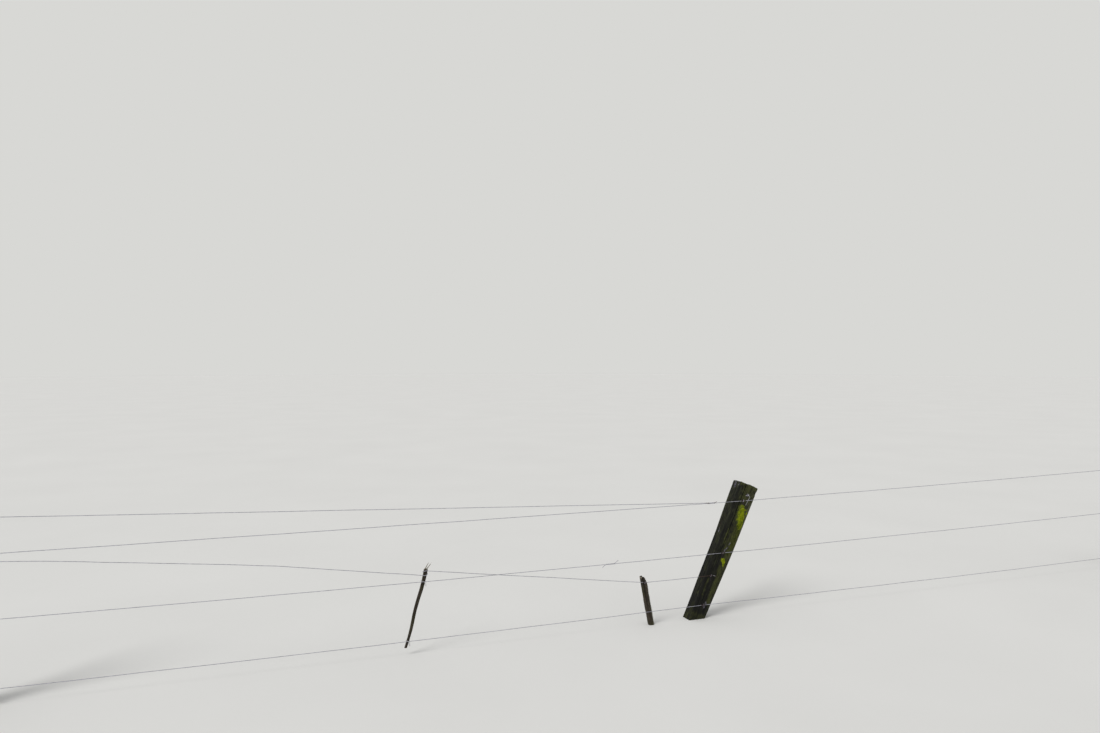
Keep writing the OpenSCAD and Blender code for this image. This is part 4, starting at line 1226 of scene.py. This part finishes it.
def slack_wire():
    """It takes a turn round the batten, crosses the middle wire, and has broken just past the post."""
    i = np.linspace(0, 1, 49)
    angle = 2 * pi * i - pi / 2
    heights = BATTEN_WIRE + BATTEN_RISE * i
    along, across = round_batten(heights, WIRE_D)
    turn = batten_at(heights) + stacked(along * np.cos(angle), across * np.sin(angle), 0) / cos(pi / 16)
    leave, stake, post, left = turn[-1], HOLD["stake"], HOLD["slack"], HOLD["left_slack"]
    fall = leave[2] - stake[2]
    guess = hang(leave, stake, 0, (leave[2] - HOLD["middle"][2]) / fall)
    crossing = hang(leave, stake, 0, (leave[2] - wire_at("middle", guess[0])[2]) / fall)
    crossing[1] = WIRE_Y - WIRE_D - CLEARANCE
    path = join(
        from_left(left, turn[0], -SLACK_SET, 1, 51, 0.006), turn[1:],
        span(leave, crossing, 0, 0, 1, 52, 0.003)[1:], span(crossing, stake, 0, 0, 1, 53, 0.002)[1:],
        span(stake, post, 0, 0, 1, 54, 0.002)[1:],
        post + TAIL * np.array([(1.1, 0, 0), (2.2, -0.1, -0.3), (2.7, -0.3, -0.75), (3.0, -0.5, -1.3)]))
    across_post = [post + x * X for x in np.linspace(-0.10, 0, 4)]
    fence_wire("slack_wire", path, [left, turn[24], stake, *across_post])


def batten_tie(wire):
    """A tie round the batten, over the top of a fence wire and down across its front."""
    z = wire_at(wire, batten_at(HOLD[wire][2])[0])[2]
    c = batten_at(z)
    along, across = (room / cos(pi / 6) for room in round_batten(z, TIE_D))
    front = WIRE_Y - WIRE_D / 2 - TIE_D / 2 - CLEARANCE - c[1]
    over = (WIRE_D + TIE_D) / 2 + CLEARANCE + 0.0025
    angle = np.linspace(0, pi, 19)
    loop = stacked(along * np.cos(angle), across * np.sin(angle), TIE_RISE * (2 * angle / pi - 1))
    low_end = [(0.80 * along, front - 0.003, -TIE_TAIL), (0.70 * along, front + 0.002, -1.7 * over)]
    high_end = [(-0.74 * along, WIRE_Y - c[1], 1.15 * over), (-0.42 * along, front, over), (0, front, 0),
                (0.34 * along, front, -over), (0.42 * along, front - 0.004, -0.8 * TIE_TAIL)]
    tie_wire("batten_" + wire + "_tie", c + join(low_end, loop, high_end))


def cut_tie():
    """It hooks over the lower leg of the half-drawn staple and hangs down in front of the upper wire."""
    seat = LEG_R * cos(STAPLE_TURN) - (STAPLE_D + TIE_D) / 2 - CLEARANCE
    r, front = CUT_TIE_BEND, -(WIRE_D + TIE_D) / 2 - CLEARANCE
    angle = np.radians(np.linspace(0, 108, 15))
    bend = stacked(0.9 * r + r * np.sin(angle), front * np.linspace(0, 1, 15), r * (np.cos(angle) - 1) - seat)
    path = join([(-1.5 * r, front / 2, -seat - 0.003), (-0.5 * r, 0, -seat)], bend,
                [(0.5 * r, front, -DRAWN_RISE), (-1.4 * r, 0.4 * front, -CUT_TIE_DROP)])
    tie_wire("cut_tie", HOLD["drawn"] + path)


# Lichen and moss that stand proud of the wood

LOBES, LEAVES = 9, 6
LEAF_FACES = ((0, 1, 3), (1, 2, 3), (2, 0, 3), (2, 1, 0))


def picked(mesh, weight, count, rng):
    """Vertices picked by weight, each with a random step to a place beside it."""
    values = np.empty((2, len(mesh.vertices) * 3), np.float32)
    for key, array in zip(("co", "normal"), values):
        mesh.vertices.foreach_get(key, array)
    points, normals = values.reshape(2, -1, 3).astype(float)
    weight = np.clip(weight, 0, None)
    chosen = rng.choice(len(points), count, p=weight / weight.sum())
    normal = normals[chosen]
    side = unit(np.cross(normal, rng.normal(size=(count, 3))))
    return points[chosen] + 0.0016 * rng.uniform(-1, 1, (count, 1)) * side, normal, side


def clear_of_wires(places):
    """False where a wire or staple lies on the face, so that no growth stands in it."""
    clear = np.ones(len(places), bool)
    for p in HOLD.values():
        near = np.abs(places[:, 0] - p[0]) < 0.15
        clear &= ~(near & (places[:, 1] < FACE_Y + 0.006) & (np.abs(places[:, 2] - p[2]) < 0.0075))
    return clear


def scattered(name, post, weight, count, make_one, size, material, seed):
    """Small growths on a post, placed at random where weight is great, and held inside the frame."""
    rng = np.random.default_rng(seed)
    places, normals, sides = picked(post.data, weight, count, rng)
    keep = clear_of_wires(places)
    points, faces = [], []
    for p, normal, side in zip(places[keep], normals[keep], sides[keep]):
        made, skin = make_one(p, normal, side, np.cross(normal, side), size, rng)
        faces += [[i + len(points) for i in face] for face in skin]
        points += [*made]
    low, high = np.array(CAD_BOX[0]), np.array(CAD_BOX[1])
    mesh_object(name, np.clip(points, low + 1e-5, high - 1e-5), faces, material)


def lobed_scale(p, normal, side, other, size, rng):
    """A small lobed scale of lichen, whose rim lifts off the wood."""
    reach = size * rng.uniform(0.45, 1.25)
    radius, lift = reach * rng.uniform(0.6, 1.15, LOBES), reach * rng.uniform(0.05, 0.42, LOBES)
    angle = 2 * pi * np.arange(LOBES) / LOBES
    rim = p + (radius * np.cos(angle))[:, None] * side + (radius * np.sin(angle))[:, None] * other
    points = join(rim + lift[:, None] * normal, rim * 0.5 + p * 0.5 + 0.1 * reach * normal,
                  rim * 0.75 + p * 0.25 - 0.0004 * normal, [p + 0.16 * reach * normal])
    faces = []
    for k in range(LOBES):
        n = (k + 1) % LOBES
        faces += [[k, n, LOBES + n, LOBES + k], [LOBES + k, LOBES + n, 3 * LOBES],
                  [n, k, 2 * LOBES + k, 2 * LOBES + n]]
    return points, faces + [[*range(3 * LOBES - 1, 2 * LOBES - 1, -1)]]


def moss_tuft(p, normal, side, other, tall, rng):
    """A tuft of short pointed leaves of moss."""
    points, faces = [], []
    for _ in range(LEAVES):
        way = unit(normal + 0.2 * Z + rng.uniform(-0.9, 0.9) * side + rng.uniform(-0.9, 0.9) * other)
        root = p + tall * 0.25 * (rng.uniform(-1, 1) * side + rng.uniform(-1, 1) * other) - 0.0005 * normal
        across = tall * 0.16 * unit(np.cross(way, side))
        up = 0.87 * np.cross(across, way)
        length = tall * rng.uniform(0.5, 1.1)
        faces += [[i + len(points) for i in face] for face in LEAF_FACES]
        points += [root + across, root - 0.5 * across + up, root - 0.5 * across - up,
                   root + length * (way - 0.06 * Z)]
    return points, faces


def grow(post, cover, name, scale, seed):
    """The lichen and moss of one post. cover holds its masks of yellow lichen, moss and pale lichen."""
    kinds = [("_yellow_lichen", 0.35, 0.8, 1500, lobed_scale, 0.0032, YELLOW_LICHEN),
             ("_moss", 0.42, 0.9, 2600, moss_tuft, 0.0042, MOSS),
             ("_pale_lichen", 0.34, 0.6, 700, lobed_scale, 0.0030, PALE_LICHEN)]
    for k, (kind, low, high, count, make_one, size, material) in enumerate(kinds):
        weight = smooth(cover[:, k], low, high)
        scattered(name + kind, post, weight, int(count * scale), make_one, size, material, seed + k)


# The stage

def make_floor():
    bpy.ops.mesh.primitive_circle_add(vertices=96, radius=90, fill_type="NGON", location=(0, 0, 0))
    floor = bpy.context.object
    floor.name = "floor"
    floor.data.materials.append(floor_material())


def make_world():
    """An even pale sky. The camera sees it as pale as the floor."""
    s = Shader(bpy.data.worlds.new("pale_sky"))
    lighting = s.tree.nodes["Background"]
    s.put(lighting.inputs["Color"], "f2f3f5")
    s.put(lighting.inputs["Strength"], 0.62)
    backdrop = s.node("Background", {"Color": "d8d8d5"}).outputs[0]
    rays = s.node("LightPath").outputs
    seen = s.math("MAXIMUM", rays["Is Camera Ray"], rays["Is Glossy Ray"])
    seen = s.math("MAXIMUM", seen, rays["Is Transmission Ray"])
    mixed = s.node("MixShader", {0: seen, 1: lighting.outputs[0], 2: backdrop}).outputs[0]
    s.put(s.tree.nodes["World Output"].inputs["Surface"], mixed)
    bpy.context.scene.world = s.owner


def make_sun():
    lamp = bpy.data.lights.new("soft_sun", "SUN")
    lamp.energy = 1.5
    lamp.angle = radians(25)
    sun = bpy.data.objects.new("soft_sun", lamp)
    sun.rotation_euler = Vector((0.62, 0.36, -0.70)).to_track_quat("-Z", "Y").to_euler()
    bpy.context.scene.collection.objects.link(sun)


def make_camera():
    data = bpy.data.cameras.new("camera")
    data.sensor_width = 36
    data.lens = FOCAL_PIXELS / PICTURE_WIDTH * data.sensor_width
    data.clip_end = 400
    camera = bpy.data.objects.new("camera", data)
    camera.location = CAMERA_PLACE
    camera.rotation_euler = (pi / 2 + CAMERA_PITCH, 0, -CAMERA_YAW)
    bpy.context.scene.collection.objects.link(camera)
    bpy.context.scene.camera = camera


def make_posts():
    """Each post and its growth. An end post is a little coarser than the leaning one."""
    post, cover = riven_post(
        "leaning_post", 11, 0.0033, 350, leaning_growth, ["upper", "middle", "slack", "bottom", "drawn"],
        knots=[(LEFT, 0.012, 0.78, 0.014), (BACK, -0.03, 0.46, 0.018), (RIGHT, -0.02, 0.30, 0.012)],
        nicks=[(17, 0.566, 0.012, 0.006), (4, 1.13, 0.02, 0.004)])
    grow(post, cover, "leaning_post", 1.0, 61)
    left_knots = [(FRONT, 0.035, 0.66, 0.015), (BACK, 0.02, 0.95, 0.018), (LEFT, 0.0, 0.4, 0.013)]
    right_knots = [(FRONT, -0.02, 0.34, 0.016), (RIGHT, 0.01, 0.8, 0.014)]
    for side, seed, knots, growth_seed in (("left_", 12, left_knots, 71), ("right_", 13, right_knots, 81)):
        holds = [hold for hold in HOLD if hold.startswith(side)]
        post, cover = riven_post(side + "post", seed, 0.0050, 240, plain_growth, holds, knots)
        grow(post, cover, side + "post", 0.6, growth_seed)


def make_wires():
    through_wire("upper", 21)
    through_wire("bottom", 25)
    top_wire()
    middle_wires()
    slack_wire()
    batten_tie("middle")
    batten_tie("bottom")
    cut_tie()


def make_sticks():
    split_stick("batten_stick", "batten")
    split_stick("broken_stake_stub", "broken_stake")
    prongs("batten_prongs", [(-0.24, 0.34, 0.66, 15), (0.16, 0.3, 0.58, 23)], 125)
    top = batten_at(BATTEN_TOP - 0.016)
    slivers("batten_splinters", [
        (top + [-0.001, 0.002, 0], 0.030, 0.30, 0.06, 0.006),
        (top + [0.009, 0.001, 0], 0.020, 0.34, -0.05, 0.006),
        (top + [0.002, 0.006, 0], 0.024, 0.20, 0.15, 0.005)], 0.9, 121)
    top = stake_at(STAKE_TOP - 0.040)
    slivers("broken_stake_splinters", [
        (top + [-0.014, -0.008, 0], 0.037, -0.16, 0.0, 0.009),
        (top + [-0.012, 0.006, 0], 0.030, -0.12, 0.1, 0.008)], 1.0, 122)
    low = stake_at(STAKE_TOP - 0.085)
    slivers("broken_stake_fibres", [
        (low + [0.003, -0.010, 0], 0.034, -0.10, 0.0, 0.007),
        (low + [0.008, 0.004, 0], 0.026, 0.02, 0.1, 0.007),
        (low + [0.000, 0.012, 0], 0.036, -0.12, 0.0, 0.006)], 0.35, 123)


def finish_staples():
    """The staples are the frame's own. Two of them are less rusted than the rest."""
    for name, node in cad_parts.items():
        if not name.endswith("staple"):
            continue
        node.data.materials.clear()
        node.data.materials.append(PALE_STAPLE if name in ("upper_staple", "drawn_staple") else STAPLE)


make_camera()
make_posts()
make_wires()
make_sticks()
finish_staples()
make_floor()
make_world()
make_sun()
bpy.context.scene.view_settings.view_transform = "Standard"
